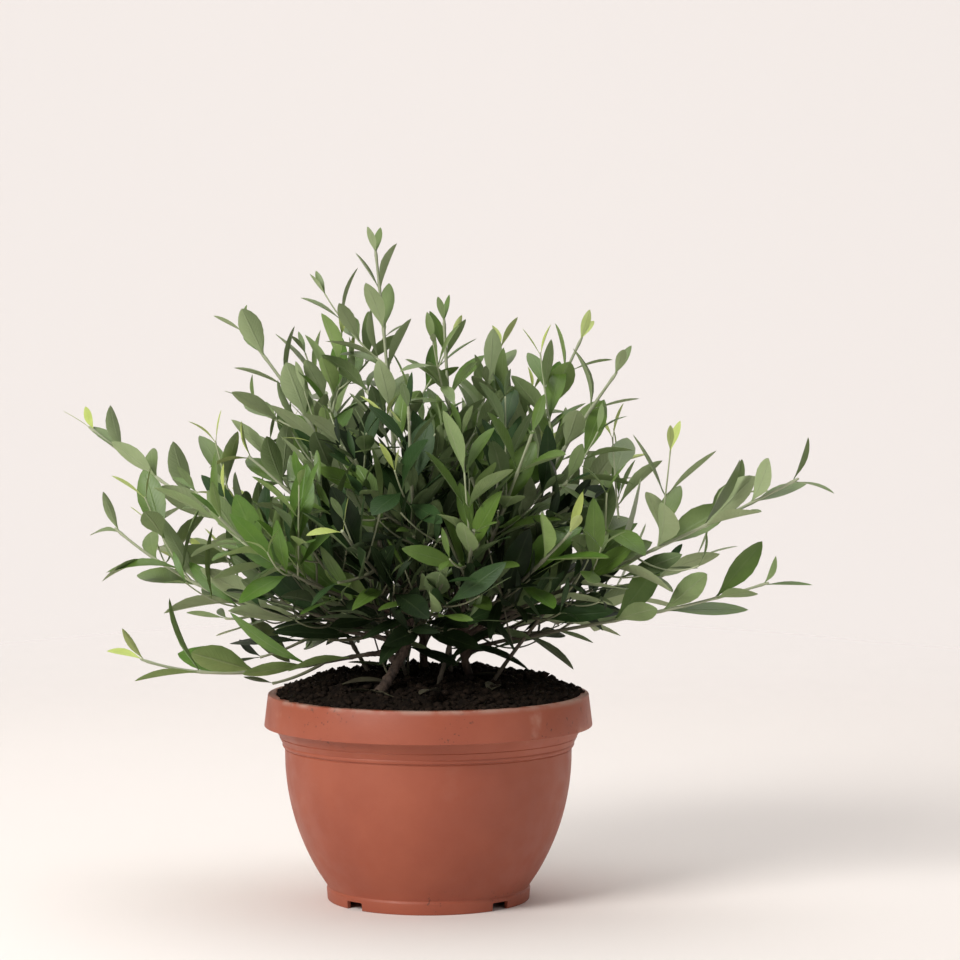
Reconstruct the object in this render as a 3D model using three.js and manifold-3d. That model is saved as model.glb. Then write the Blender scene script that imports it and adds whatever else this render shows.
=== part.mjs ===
// A young olive grown as a low bush of several stems, in a bowl pot of terracotta-coloured plastic.
// Millimetres, +Z up. The origin is on the pot's axis, on the level the pot stands on, and -Y is the front.
// The pot, the soil, the stems, their boughs and the masses of foliage that the boughs carry are separate.
import * as THREE from "three";
import { mergeVertices } from "three/addons/utils/BufferGeometryUtils.js";
import Module from "manifold-3d";

const wasm = await Module();
wasm.setup();

// Clearance left between solids that touch on the real plant.
const GAP = 0.3;

// The bowl pot, 21 cm across its rim.
const POT_HEIGHT = 132;
const RIM_RADIUS = 105;
const RIM_TOP_RADIUS = 102.5;
const RIM_FOOT_Z = 111.5;
const SKIRT_WALL = 2;
const NECK_TOP_RADIUS = 98.4;
const NECK_FOOT_RADIUS = 92.8;
const NECK_FOOT_Z = 96.5;
const BODY_RADIUS = 91.7;
const BODY_TOP_Z = 94;
const BODY_ARC = 147.5;
const WALL = 2;
const RIM_ROUNDING = 1.4;
const LIP_DRAFT = 0.8;
const LIP_CAVITY_TOP_Z = 126;
const FOOT_RADIUS = 64.7;
const FOOT_DRAFT = 0.6;
const FOOT_STEP = 1;
const FOOT_HEIGHT = 8.5;
const FOOT_WALL = 2.4;
const FLOOR_UNDERSIDE_Z = 5.5;
const POT_SIDES = 32;
const BOWL_STEPS = { outside: 5, inside: 3 };
const NOTCH = { width: 13.3, height: 5.2, depth: 12, count: 4, firstAngle: 45 };
const DRAIN = { radius: 4, ringRadius: 44, count: 4, firstAngle: 0 };

// The soil, heaped a little above the rim and higher at the back.
const SOIL_EDGE_Z = 130.5;
const SOIL_HEAP = 9;
const SOIL_TILT = 0.045;
const SOIL_LUMP = 1.1;
const SOIL_LIP_DROP = 5;
const SOIL_RINGS = [84, 62, 34, 0];

// The three stems that rise from the soil: foot, knee and top, and how thick they are.
const STEM_SEAT_DEPTH = 1.2;
const STEM_SEAT_MARGIN = 3;
const STEM_SIDES = 8;
const STEM_RINGS = [0, 0.07, 0.16, 0.35, 0.58, 0.8, 1];
const FLARE_HEIGHT = 9;
const STEMS = {
  trunk: { foot: [-31, -49], knee: [-9, -21, 164], top: [-6, -13, 197], base: 4.3, tip: 2.9, flare: 2.6 },
  stem_right: { foot: [27, 5], knee: [20, 0, 163], top: [17, -3, 194], base: 3.6, tip: 2.6, flare: 1.8 },
  stem_rear: { foot: [-3, 34], knee: [-5, 28, 165], top: [-4, 26, 196], base: 3.6, tip: 2.6, flare: 1.8 },
};

// Each leader runs from its stem to its tip: a bare bough first, then the leafy shoot of its mass.
// Azimuth turns from +X towards +Y, elevation is above the level, and reach is from the crown's hub.
// Bow lifts the middle of the leader (or drops it), twigs is how many side twigs it carries, and lowest
// is how far down its leaves hang at the pot's axis.
const HUB = new THREE.Vector3(0, 0, 165);
const LEADERS = {
  left_high: { azimuth: 157.5, elevation: 28.5, reach: 281, bow: -14, twigs: 3, lowest: 150 },
  left_mid: { azimuth: 169, elevation: 18.5, reach: 220, bow: -38, twigs: 3, lowest: 150 },
  left_low: { azimuth: 191, elevation: -2.5, reach: 184, bow: -26, twigs: 1, lowest: 134 },
  left_front: { azimuth: 216.5, elevation: 28.5, reach: 178, bow: -26, twigs: 3, lowest: 158 },
  left_inner: { azimuth: 171, elevation: 45, reach: 166, bow: 6, twigs: 3, lowest: 160 },
  top_left: { azimuth: 166, elevation: 58, reach: 234, bow: 22, twigs: 4, lowest: 170 },
  top: { azimuth: 208, elevation: 81.5, reach: 253, bow: 0, twigs: 3, lowest: 180 },
  top_mid: { azimuth: 291, elevation: 82, reach: 208, bow: 6, twigs: 3, lowest: 180 },
  top_right: { azimuth: 6, elevation: 63, reach: 218, bow: 4, twigs: 4, lowest: 170 },
  top_back: { azimuth: 56, elevation: 66, reach: 206, bow: 6, twigs: 3, lowest: 170 },
  right_up: { azimuth: 335, elevation: 53, reach: 216, bow: 6, twigs: 3, lowest: 170 },
  right_mid: { azimuth: 20, elevation: 41, reach: 172, bow: 0, twigs: 3, lowest: 160 },
  right_high: { azimuth: 333.5, elevation: 23.5, reach: 274, bow: -6, twigs: 2, lowest: 184 },
  right_low: { azimuth: 340, elevation: 11, reach: 228, bow: -8, twigs: 1, lowest: 172 },
  right_front: { azimuth: 312, elevation: 30, reach: 152, bow: -6, twigs: 2, lowest: 170, bare: 27 },
  front_up: { azimuth: 264, elevation: 57, reach: 182, bow: -4, twigs: 4, lowest: 165, bare: 27 },
  front_low: { azimuth: 284, elevation: 33, reach: 144, bow: -4, twigs: 3, lowest: 162, bare: 27 },
  front_left: { azimuth: 245, elevation: 33, reach: 142, bow: -4, twigs: 3, lowest: 162, bare: 27 },
  front_right: { azimuth: 303, elevation: 49, reach: 182, bow: -4, twigs: 3, lowest: 165, bare: 27 },
  back_left: { azimuth: 134, elevation: 25, reach: 184, bow: -8, twigs: 3, lowest: 152 },
  back_left_up: { azimuth: 122, elevation: 49, reach: 208, bow: 4, twigs: 3, lowest: 160 },
  back: { azimuth: 94, elevation: 26, reach: 138, bow: -6, twigs: 3, lowest: 152 },
  back_up: { azimuth: 82, elevation: 48, reach: 184, bow: 0, twigs: 3, lowest: 160 },
  back_right: { azimuth: 52, elevation: 24, reach: 172, bow: -8, twigs: 3, lowest: 152 },
  right_back: { azimuth: 24, elevation: 14, reach: 202, bow: -14, twigs: 2, lowest: 150 },
  inner_right: { azimuth: 348, elevation: 18, reach: 112, bow: 2, twigs: 3, lowest: 148, bare: 0 },
  inner_left: { azimuth: 205, elevation: 16, reach: 112, bow: 0, twigs: 3, lowest: 146, bare: 0 },
  inner_front: { azimuth: 276, elevation: 24, reach: 112, bow: 0, twigs: 4, lowest: 146, bare: 0 },
  inner_back: { azimuth: 70, elevation: 18, reach: 112, bow: 0, twigs: 3, lowest: 148, bare: 0 },
};
const LEADER_STEPS = 8;
const SHORT_HEEL = 0.04;
const STEEPEST = 82;
const LEAVING = { angle: 52, reach: 16, middle: 0.55, lowest: 0.3, highest: 0.97 };
const BOUGH = { bare: 36, base: 2.1, tip: 1.6, sides: 5, steps: 3 };

// Side twigs leave their leader in the axils of its leaves.
const TWIG = {
  first: 0.02,
  last: 0.66,
  share: 0.3,
  shortest: 34,
  angle: 50,
  turn: 2.4,
  scatter: 0.5,
  lift: 0.16,
  base: 1.15,
  tip: 0.85,
  steps: 2,
  testedAt: [0.3, 0.5, 0.7, 0.85, 1],
};
const MAIN_SHOOT = { base: 1.5, tip: 0.9, steps: 5 };
const SHOOT_SIDES = 3;

// Leaves stand in opposite pairs, each pair turned a quarter from the one before, and turn up to the light.
const LEAF = {
  length: 46,
  widthShare: 0.33,
  thicknessShare: 0.02,
  rootAt: -0.012,
  thickestAt: 0.16,
  widestAt: 0.48,
  arch: 0.04,
  droop: 0.05,
  faceUp: 0.55,
};
const PAIR_SPACING = 22.5;
const SIZE_BY_ELEVATION = { level: 1.14, upright: 0.8 };
const LEAF_ANGLE = { base: 58, tip: 30, scatter: 10 };
const LIGHT_TURN = { least: -0.2, most: 0.6 };
const SWELL = { foot: 0.84, middle: 0.3, tip: 0.22, scatter: 0.12 };
const TIP_PAIR = { at: 0.985, size: 0.62 };
const SHOOT_FOOT = 6;
const ROLL_SCATTER = 0.2;
const RETRY = { turn: 0.45, narrower: 0.16 };
const QUARTER_TURN = Math.PI / 2;
const TRIES = 4;

// The crown's reach, and how far a leaf keeps from its neighbours.
const CROWN = { halfWidth: 239.3, halfDepth: 130, top: 426, underside: 0.09 };
const OUTLINE = { heel: 0.12, tip: 1.04, side: 1.15 };
const CELL_MARGIN = 1.3;
const LEAF_SPACING = 3;
const LIMB_RADIUS = 3.2;
const LIMB_CLEARANCE = 0.8;
const SOIL_CLEARANCE = 3;
const FUSE_TOLERANCES = [0.1, 0.12, 0.08, 0.14, 0.06, 0.02];
const ROUNDING = 1000;
const SEED = { first: 417, step: 31 };

const UP = new THREE.Vector3(0, 0, 1);

const PAINT = {
  pot: new THREE.MeshStandardMaterial({ color: 0xb4634a, roughness: 0.55, metalness: 0 }),
  soil: new THREE.MeshStandardMaterial({ color: 0x1d1512, roughness: 1, metalness: 0 }),
  bark: new THREE.MeshStandardMaterial({ color: 0x55443a, roughness: 0.9, metalness: 0 }),
  foliage: new THREE.MeshStandardMaterial({ color: 0x4f6a3c, roughness: 0.6, metalness: 0 }),
};

/** A closed three.js geometry as a manifold solid, its shared vertices merged and empty faces dropped. */
function solidOf(geometry) {
  const bare = geometry.clone();
  bare.deleteAttribute("normal");
  bare.deleteAttribute("uv");
  const merged = mergeVertices(bare, 1e-4);
  const index = merged.index.array;
  const kept = [];
  for (let i = 0; i < index.length; i += 3) {
    const [a, b, c] = [index[i], index[i + 1], index[i + 2]];
    if (a !== b && b !== c && c !== a) kept.push(a, b, c);
  }
  return new wasm.Manifold(
    new wasm.Mesh({
      numProp: 3,
      vertProperties: new Float32Array(merged.attributes.position.array),
      triVerts: new Uint32Array(kept),
    }),
  );
}

/** A manifold solid as a named mesh of its own. */
function meshOf(name, solid, material) {
  const { vertProperties, triVerts } = solid.getMesh();
  const geometry = new THREE.BufferGeometry();
  geometry.setAttribute("position", new THREE.BufferAttribute(new Float32Array(vertProperties), 3));
  geometry.setIndex(new THREE.BufferAttribute(new Uint32Array(triVerts), 1));
  geometry.computeVertexNormals();
  const mesh = new THREE.Mesh(geometry, material);
  mesh.name = name;
  return mesh;
}

/** Numbers from 0 to 1 that are the same on every run. */
function seededRandom(seed) {
  let state = seed >>> 0;
  return () => {
    state = (state + 0x6d2b79f5) >>> 0;
    let mixed = Math.imul(state ^ (state >>> 15), state | 1);
    mixed ^= mixed + Math.imul(mixed ^ (mixed >>> 7), mixed | 61);
    return ((mixed ^ (mixed >>> 14)) >>> 0) / 4294967296;
  };
}

/** The unit vector at an azimuth and an elevation in degrees. */
function heading(azimuth, elevation) {
  const turn = THREE.MathUtils.degToRad(azimuth);
  const rise = THREE.MathUtils.degToRad(elevation);
  return new THREE.Vector3(
    Math.cos(turn) * Math.cos(rise),
    Math.sin(turn) * Math.cos(rise),
    Math.sin(rise),
  );
}

/** The outer radius of the bowl at a height, on one circular arc from the neck down to the foot. */
function bowlRadius(z, inset = 0) {
  const arc = BODY_ARC - inset;
  const drop = BODY_TOP_Z - z;
  return BODY_RADIUS - BODY_ARC + Math.sqrt(arc * arc - drop * drop);
}

/** Points of the bowl's arc between two heights, set in by a wall. */
function bowlArc(fromZ, toZ, inset, steps) {
  return Array.from({ length: steps + 1 }, (_, i) => {
    const z = THREE.MathUtils.lerp(fromZ, toZ, i / steps);
    return new THREE.Vector2(bowlRadius(z, inset), z);
  });
}

/** The inside of the pot from its floor's centre to its lip, set in further by a clearance. */
function potInside(inset) {
  const wall = WALL + inset;
  const floorZ = FLOOR_UNDERSIDE_Z + wall;
  return [
    new THREE.Vector2(0, floorZ),
    ...bowlArc(floorZ, BODY_TOP_Z, wall, BOWL_STEPS.inside),
    new THREE.Vector2(NECK_FOOT_RADIUS - wall, NECK_FOOT_Z),
    new THREE.Vector2(NECK_TOP_RADIUS - wall, RIM_FOOT_Z),
    new THREE.Vector2(NECK_TOP_RADIUS + LIP_DRAFT - wall, POT_HEIGHT - SOIL_LIP_DROP),
  ];
}

/** The pot: foot ring, bowl, necked collar and a down-turned rim that is open underneath. */
function buildPot() {
  const outside = [
    new THREE.Vector2(0, FLOOR_UNDERSIDE_Z),
    new THREE.Vector2(FOOT_RADIUS - FOOT_WALL, FLOOR_UNDERSIDE_Z),
    new THREE.Vector2(FOOT_RADIUS - FOOT_WALL, 0),
    new THREE.Vector2(FOOT_RADIUS, 0),
    new THREE.Vector2(FOOT_RADIUS + FOOT_DRAFT, FOOT_HEIGHT - FOOT_STEP),
    new THREE.Vector2(bowlRadius(FOOT_HEIGHT), FOOT_HEIGHT),
    ...bowlArc(2 * FOOT_HEIGHT, BODY_TOP_Z, 0, BOWL_STEPS.outside),
    new THREE.Vector2(NECK_FOOT_RADIUS, BODY_TOP_Z + 0.25 * (NECK_FOOT_Z - BODY_TOP_Z)),
    new THREE.Vector2(NECK_FOOT_RADIUS, NECK_FOOT_Z),
    new THREE.Vector2(NECK_TOP_RADIUS, RIM_FOOT_Z - LIP_DRAFT),
    new THREE.Vector2(NECK_TOP_RADIUS + LIP_DRAFT, LIP_CAVITY_TOP_Z),
    new THREE.Vector2(RIM_TOP_RADIUS - SKIRT_WALL, LIP_CAVITY_TOP_Z),
    new THREE.Vector2(RIM_RADIUS - SKIRT_WALL, RIM_FOOT_Z),
    new THREE.Vector2(RIM_RADIUS, RIM_FOOT_Z),
    new THREE.Vector2(RIM_TOP_RADIUS, POT_HEIGHT - RIM_ROUNDING),
    new THREE.Vector2(RIM_TOP_RADIUS - RIM_ROUNDING, POT_HEIGHT),
    new THREE.Vector2(NECK_TOP_RADIUS, POT_HEIGHT),
  ];
  const profile = [...outside, ...potInside(0).reverse()];
  let pot = solidOf(new THREE.LatheGeometry(profile, POT_SIDES).rotateX(QUARTER_TURN));
  for (let i = 0; i < NOTCH.count; i++) {
    const angle = THREE.MathUtils.degToRad(NOTCH.firstAngle + (i * 360) / NOTCH.count);
    const notch = new THREE.BoxGeometry(NOTCH.depth, NOTCH.width, 2 * NOTCH.height);
    notch.translate(FOOT_RADIUS, 0, 0).rotateZ(angle);
    pot = pot.subtract(solidOf(notch));
  }
  for (let i = 0; i < DRAIN.count; i++) {
    const angle = THREE.MathUtils.degToRad(DRAIN.firstAngle + (i * 360) / DRAIN.count);
    const drain = new THREE.CylinderGeometry(DRAIN.radius, DRAIN.radius, 4 * WALL, 12);
    drain.rotateX(QUARTER_TURN).translate(DRAIN.ringRadius, 0, FLOOR_UNDERSIDE_Z + WALL / 2).rotateZ(angle);
    pot = pot.subtract(solidOf(drain));
  }
  return pot;
}

/** The height of the soil's surface at a place. */
function soilHeight(x, y) {
  const edge = NECK_TOP_RADIUS - WALL;
  const share = Math.min(1, Math.hypot(x, y) / edge);
  const heap = SOIL_HEAP * (1 - share ** 6) + SOIL_TILT * y * (1 - share ** 8);
  const lumps = Math.sin(x / 7.3 + 1.1) * Math.cos(y / 8.9) + 0.7 * Math.sin((x - 1.7 * y) / 12.1);
  return SOIL_EDGE_Z + heap + SOIL_LUMP * lumps * (1 - share ** 4);
}

/** The height at which a stem stands, in a shallow flat seat in the soil. */
function seatHeight(foot) {
  return soilHeight(foot[0], foot[1]) - STEM_SEAT_DEPTH;
}

/** The soil: it fills the pot to its lip and is heaped in the middle, with a flat seat for each stem. */
function buildSoil() {
  const sides = potInside(GAP);
  const lip = sides[sides.length - 1];
  const top = SOIL_RINGS.map((radius) => new THREE.Vector2(radius, POT_HEIGHT + 1));
  const profile = [...sides.slice(0, -1), new THREE.Vector2(lip.x, POT_HEIGHT), ...top];
  const heap = new THREE.LatheGeometry(profile, POT_SIDES).rotateX(QUARTER_TURN);
  const place = heap.attributes.position;
  for (let i = 0; i < place.count; i++) {
    if (place.getZ(i) < POT_HEIGHT - 1e-3) continue;
    place.setZ(i, soilHeight(place.getX(i), place.getY(i)));
  }
  let soil = solidOf(heap);
  for (const { foot, base, flare } of Object.values(STEMS)) {
    const seatRadius = base + flare + STEM_SEAT_MARGIN;
    const seat = new THREE.CylinderGeometry(seatRadius, seatRadius, 20, STEM_SIDES);
    seat.rotateX(QUARTER_TURN).translate(foot[0], foot[1], seatHeight(foot) + 10);
    soil = soil.subtract(solidOf(seat));
  }
  return soil;
}

/** A closed round limb: a cylinder bent along a line of points, with its own radius at each of them. */
function limb(points, radiusAt, sides) {
  const steps = points.length - 1;
  const line = new THREE.CatmullRomCurve3(points);
  const frames = line.computeFrenetFrames(steps);
  const geometry = new THREE.CylinderGeometry(1, 1, 1, sides, steps);
  const place = geometry.attributes.position;
  const at = new THREE.Vector3();
  for (let i = 0; i < place.count; i++) {
    const step = Math.round((place.getY(i) + 0.5) * steps);
    const radius = radiusAt(step / steps);
    at.copy(points[step]);
    at.addScaledVector(frames.binormals[step], place.getX(i) * radius);
    at.addScaledVector(frames.normals[step], place.getZ(i) * radius);
    place.setXYZ(i, at.x, at.y, at.z);
  }
  return solidOf(geometry);
}

/** Evenly stepped points of a curve between two of its shares. */
function pointsAlong(curve, from, to, steps) {
  return Array.from({ length: steps + 1 }, (_, i) => curve.getPoint(from + ((to - from) * i) / steps));
}

/** A shoot along a stretch of a curve: its straight-sided line, with its places and directions. */
function shootAlong(curve, from, steps, base, tip) {
  const line = pointsAlong(curve, from, 1, steps);
  const placeAt = (share) => {
    const along = share * steps;
    const step = Math.min(Math.floor(along), steps - 1);
    return line[step].clone().lerp(line[step + 1], along - step);
  };
  const directionAt = (share) => curve.getTangent(from + (1 - from) * share);
  return { line, placeAt, directionAt, base, tip, length: curve.getLength() * (1 - from) };
}

/** The curve that a stem follows, from its seat in the soil to its top. */
function stemCurve({ foot, knee, top }) {
  return new THREE.QuadraticBezierCurve3(
    new THREE.Vector3(foot[0], foot[1], seatHeight(foot) + GAP),
    new THREE.Vector3(...knee),
    new THREE.Vector3(...top),
  );
}

/** A stem, wider at its flared root and cut flat where it meets the soil. */
function buildStem(stem, curve) {
  const rise = stem.top[2] - seatHeight(stem.foot);
  const radiusAt = (share) => {
    const flare = stem.flare * Math.max(0, 1 - (share * rise) / FLARE_HEIGHT);
    return THREE.MathUtils.lerp(stem.base, stem.tip, share) + flare;
  };
  const steps = STEM_RINGS.length - 1;
  const geometry = new THREE.CylinderGeometry(1, 1, 1, STEM_SIDES, steps);
  const place = geometry.attributes.position;
  for (let i = 0; i < place.count; i++) {
    const share = STEM_RINGS[Math.round((place.getY(i) + 0.5) * steps)];
    const at = curve.getPoint(share);
    const radius = radiusAt(share);
    place.setXYZ(i, at.x + place.getZ(i) * radius, at.y + place.getX(i) * radius, at.z);
  }
  return solidOf(geometry);
}

/** Which stem a leader grows from: the one on its own side of the crown. */
function stemNameFor({ azimuth }) {
  if (azimuth > 50 && azimuth < 150) return "stem_rear";
  return azimuth >= 150 && azimuth < 283 ? "trunk" : "stem_right";
}

/** The solid of a bare bough, along the first share of its leader. */
function boughSolid(curve, bareShare) {
  const points = pointsAlong(curve, 0, bareShare, BOUGH.steps);
  return limb(points, (share) => THREE.MathUtils.lerp(BOUGH.base, BOUGH.tip, share), BOUGH.sides);
}

/** The solid of a shoot or a twig. */
function shootSolid({ line, base, tip }) {
  return limb(line, (share) => THREE.MathUtils.lerp(base, tip, share), SHOOT_SIDES);
}

/** The leafy shoot of a leader, from a share of its curve to its tip. */
function mainShoot(curve, from) {
  return shootAlong(curve, from, MAIN_SHOOT.steps, MAIN_SHOOT.base, MAIN_SHOOT.tip);
}

/** The share of a leader's curve that is a bare bough. */
function bareShareOf(leader, curve) {
  return (leader.bare ?? BOUGH.bare) / curve.getLength();
}

/** The curve of a leader whose root lies an offset away from its stem's middle line. */
function leaderCurve(leader, along, stemPoint, offset) {
  const outward = heading(leader.azimuth, 0);
  outward.addScaledVector(along, -outward.dot(along)).normalize();
  const leaving = THREE.MathUtils.degToRad(LEAVING.angle);
  const start = outward.multiplyScalar(Math.sin(leaving)).addScaledVector(along, Math.cos(leaving));
  const from = stemPoint.clone().addScaledVector(start, offset);
  const to = HUB.clone().addScaledVector(heading(leader.azimuth, leader.elevation), leader.reach);
  const middle = from.clone().lerp(to, LEAVING.middle).addScaledVector(UP, leader.bow);
  const knee = from.clone().addScaledVector(start, LEAVING.reach);
  return new THREE.CubicBezierCurve3(from, knee, middle, to);
}

/** The curve of a leader whose root is moved out of its stem until it is clear by the gap. */
function rootedCurve(leader, stem, share) {
  const along = stem.curve.getTangent(share);
  const stemPoint = stem.curve.getPoint(share);
  const curveAt = (offset) => leaderCurve(leader, along, stemPoint, offset);
  const inStem = (curve) => {
    const bareShare = bareShareOf(leader, curve);
    const root = bareShare === 0 ? shootSolid(mainShoot(curve, 0)) : boughSolid(curve, bareShare);
    return !stem.solid.intersect(root).isEmpty();
  };
  let offset = 0;
  while (inStem(curveAt(offset))) offset += GAP / 3;
  return curveAt(offset + GAP);
}

/** Every leader with the curve it follows: low leaders leave their stem low down, steep ones near its top. */
function layOutLeaders(stems) {
  const leaders = Object.entries(LEADERS).map(([name, sizes], index) => ({ name, index, ...sizes }));
  for (const stem of stems) {
    const own = leaders.filter((leader) => stemNameFor(leader) === stem.name);
    own.sort((a, b) => a.elevation - b.elevation);
    own.forEach((leader, rank) => {
      const share = THREE.MathUtils.lerp(LEAVING.lowest, LEAVING.highest, rank / (own.length - 1));
      const curve = rootedCurve(leader, stem, share);
      const bareShare = bareShareOf(leader, curve);
      leader.curve = curve;
      leader.length = curve.getLength();
      leader.bareShare = bareShare;
      leader.bareLine = pointsAlong(curve, 0, Math.max(bareShare, SHORT_HEEL), BOUGH.steps);
      leader.leafyLine = pointsAlong(curve, bareShare, 1, LEADER_STEPS);
      leader.leafScale = THREE.MathUtils.lerp(
        SIZE_BY_ELEVATION.level,
        SIZE_BY_ELEVATION.upright,
        Math.max(0, leader.elevation) / STEEPEST,
      );
    });
  }
  return leaders;
}

/** The distance from a point to a line of points. */
function distanceTo(point, line) {
  let nearest = Infinity;
  for (let i = 0; i + 1 < line.length; i++) {
    const [a, b] = [line[i], line[i + 1]];
    const [dx, dy, dz] = [b.x - a.x, b.y - a.y, b.z - a.z];
    const [px, py, pz] = [point.x - a.x, point.y - a.y, point.z - a.z];
    const share = Math.max(0, Math.min(1, (px * dx + py * dy + pz * dz) / (dx * dx + dy * dy + dz * dz)));
    nearest = Math.min(nearest, Math.hypot(px - share * dx, py - share * dy, pz - share * dz));
  }
  return nearest;
}

/** A test that says whether a point lies in a leader's own space and clear of every bare limb. */
function ownSpace(leader, leaders, stemLines) {
  const others = leaders.filter((other) => other !== leader).map((other) => other.leafyLine);
  const limbs = [...leaders.map((other) => other.bareLine), ...stemLines];
  return (point, extra = 0) => {
    if (Math.abs(point.x) > CROWN.halfWidth || Math.abs(point.y) > CROWN.halfDepth) return false;
    if (point.z > CROWN.top || point.z < leader.lowest - CROWN.underside * point.y) return false;
    const overPot = Math.hypot(point.x, point.y) < RIM_RADIUS + SOIL_CLEARANCE;
    if (overPot && point.z < soilHeight(point.x, point.y) + SOIL_CLEARANCE) return false;
    const limbReach = LIMB_RADIUS + LIMB_CLEARANCE + extra;
    if (limbs.some((line) => distanceTo(point, line) < limbReach)) return false;
    const own = distanceTo(point, leader.leafyLine) + CELL_MARGIN + extra;
    return others.every((line) => distanceTo(point, line) > own);
  };
}

/** Two directions square to a tangent: the first level, the second on the upper side. */
function crossDirections(tangent) {
  const level = new THREE.Vector3().crossVectors(tangent, new THREE.Vector3(0.05, -0.08, 1)).normalize();
  return [level, new THREE.Vector3().crossVectors(level, tangent).normalize()];
}

/** One leaf: where it grows, its direction, the normal of its upper face, and its sizes. */
function placeLeaf(root, tangent, roll, angle, length, lightTurn) {
  const [level, upper] = crossDirections(tangent);
  const side = level.multiplyScalar(Math.cos(roll)).addScaledVector(upper, Math.sin(roll));
  const along = tangent.clone().multiplyScalar(Math.cos(angle)).addScaledVector(side, Math.sin(angle));
  along.addScaledVector(UP, lightTurn).normalize();
  const normal = tangent.clone().addScaledVector(UP, LEAF.faceUp);
  normal.addScaledVector(along, -normal.dot(along)).normalize();
  return { root, along, normal, across: new THREE.Vector3().crossVectors(normal, along), length };
}

/** A point of a leaf: share is along its length, side from -1 to 1 across it, and rise off its face. */
function leafPoint(leaf, share, side, rise = 0) {
  const width = (leaf.length * LEAF.widthShare) / 2;
  const bend = LEAF.arch * share - LEAF.droop * share * share;
  return leaf.root
    .clone()
    .addScaledVector(leaf.along, leaf.length * share)
    .addScaledVector(leaf.across, width * side)
    .addScaledVector(leaf.normal, leaf.length * bend + rise);
}

/** The points at which a leaf is tested against its mass's space. */
function leafSamples(leaf) {
  const places = [[0.25, 0], [0.5, 0], [0.75, 0], [1, 0], [0.25, 0.6], [0.25, -0.6]];
  places.push([LEAF.widestAt, 1], [LEAF.widestAt, -1], [0.72, 0.6], [0.72, -0.6]);
  return places.map(([share, side]) => leafPoint(leaf, share, side));
}

/** Whether the stretch between two points passes through a triangle. */
function passesThrough(from, to, corners) {
  const ray = new THREE.Ray(from, to.clone().sub(from).normalize());
  const hit = ray.intersectTriangle(...corners, false, new THREE.Vector3());
  return hit !== null && from.distanceTo(hit) < from.distanceTo(to);
}

/** A leaf's outline, a little larger than the leaf, as two triangles and the edges and rib between them. */
function leafOutline(leaf) {
  const heel = leafPoint(leaf, OUTLINE.heel, 0);
  const tip = leafPoint(leaf, OUTLINE.tip, 0);
  const left = leafPoint(leaf, LEAF.widestAt, -OUTLINE.side);
  const right = leafPoint(leaf, LEAF.widestAt, OUTLINE.side);
  return {
    middle: leafPoint(leaf, 0.5, 0),
    length: leaf.length,
    faces: [[heel, right, left], [tip, left, right]],
    edges: [[heel, left], [left, tip], [tip, right], [right, heel], [heel, tip]],
  };
}

/** Whether two leaves cut each other or lie too close. */
function leavesMeet(one, other) {
  const apart = one.middle.distanceTo(other.middle);
  if (apart > 0.6 * (one.length + other.length)) return false;
  if (apart < LEAF_SPACING) return true;
  const cuts = (a, b) => a.edges.some(([from, to]) => b.faces.some((face) => passesThrough(from, to, face)));
  return cuts(one, other) || cuts(other, one);
}

/** A leaf as a solid of eight faces, its root sunk in the twig it grows from. */
function leafSolid(leaf) {
  const geometry = new THREE.OctahedronGeometry(1);
  const place = geometry.attributes.position;
  const halfThickness = (leaf.length * LEAF.thicknessShare) / 2;
  for (let i = 0; i < place.count; i++) {
    const [across, through, lengthwise] = [place.getX(i), place.getY(i), place.getZ(i)];
    const onBlade = Math.abs(through) > 0.5 ? LEAF.thickestAt : LEAF.widestAt;
    const share = lengthwise < -0.5 ? LEAF.rootAt : lengthwise > 0.5 ? 1 : onBlade;
    const at = leafPoint(leaf, share, across, through * halfThickness);
    place.setXYZ(i, at.x, at.y, at.z);
  }
  return solidOf(geometry);
}

/** Whether a line of points passes through a leaf. */
function cutByLine(outline, line) {
  return outline.faces.some((face) => line.some((to, i) => i > 0 && passesThrough(line[i - 1], to, face)));
}

/** How long a leaf is at a share of its shoot: longest in the middle, small at the tip. */
function leafLength(share, scale, random) {
  const swell = SWELL.foot + SWELL.middle * Math.sin(Math.PI * share) - SWELL.tip * share ** 3;
  return LEAF.length * scale * swell * (1 + SWELL.scatter * (2 * random() - 1));
}

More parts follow.
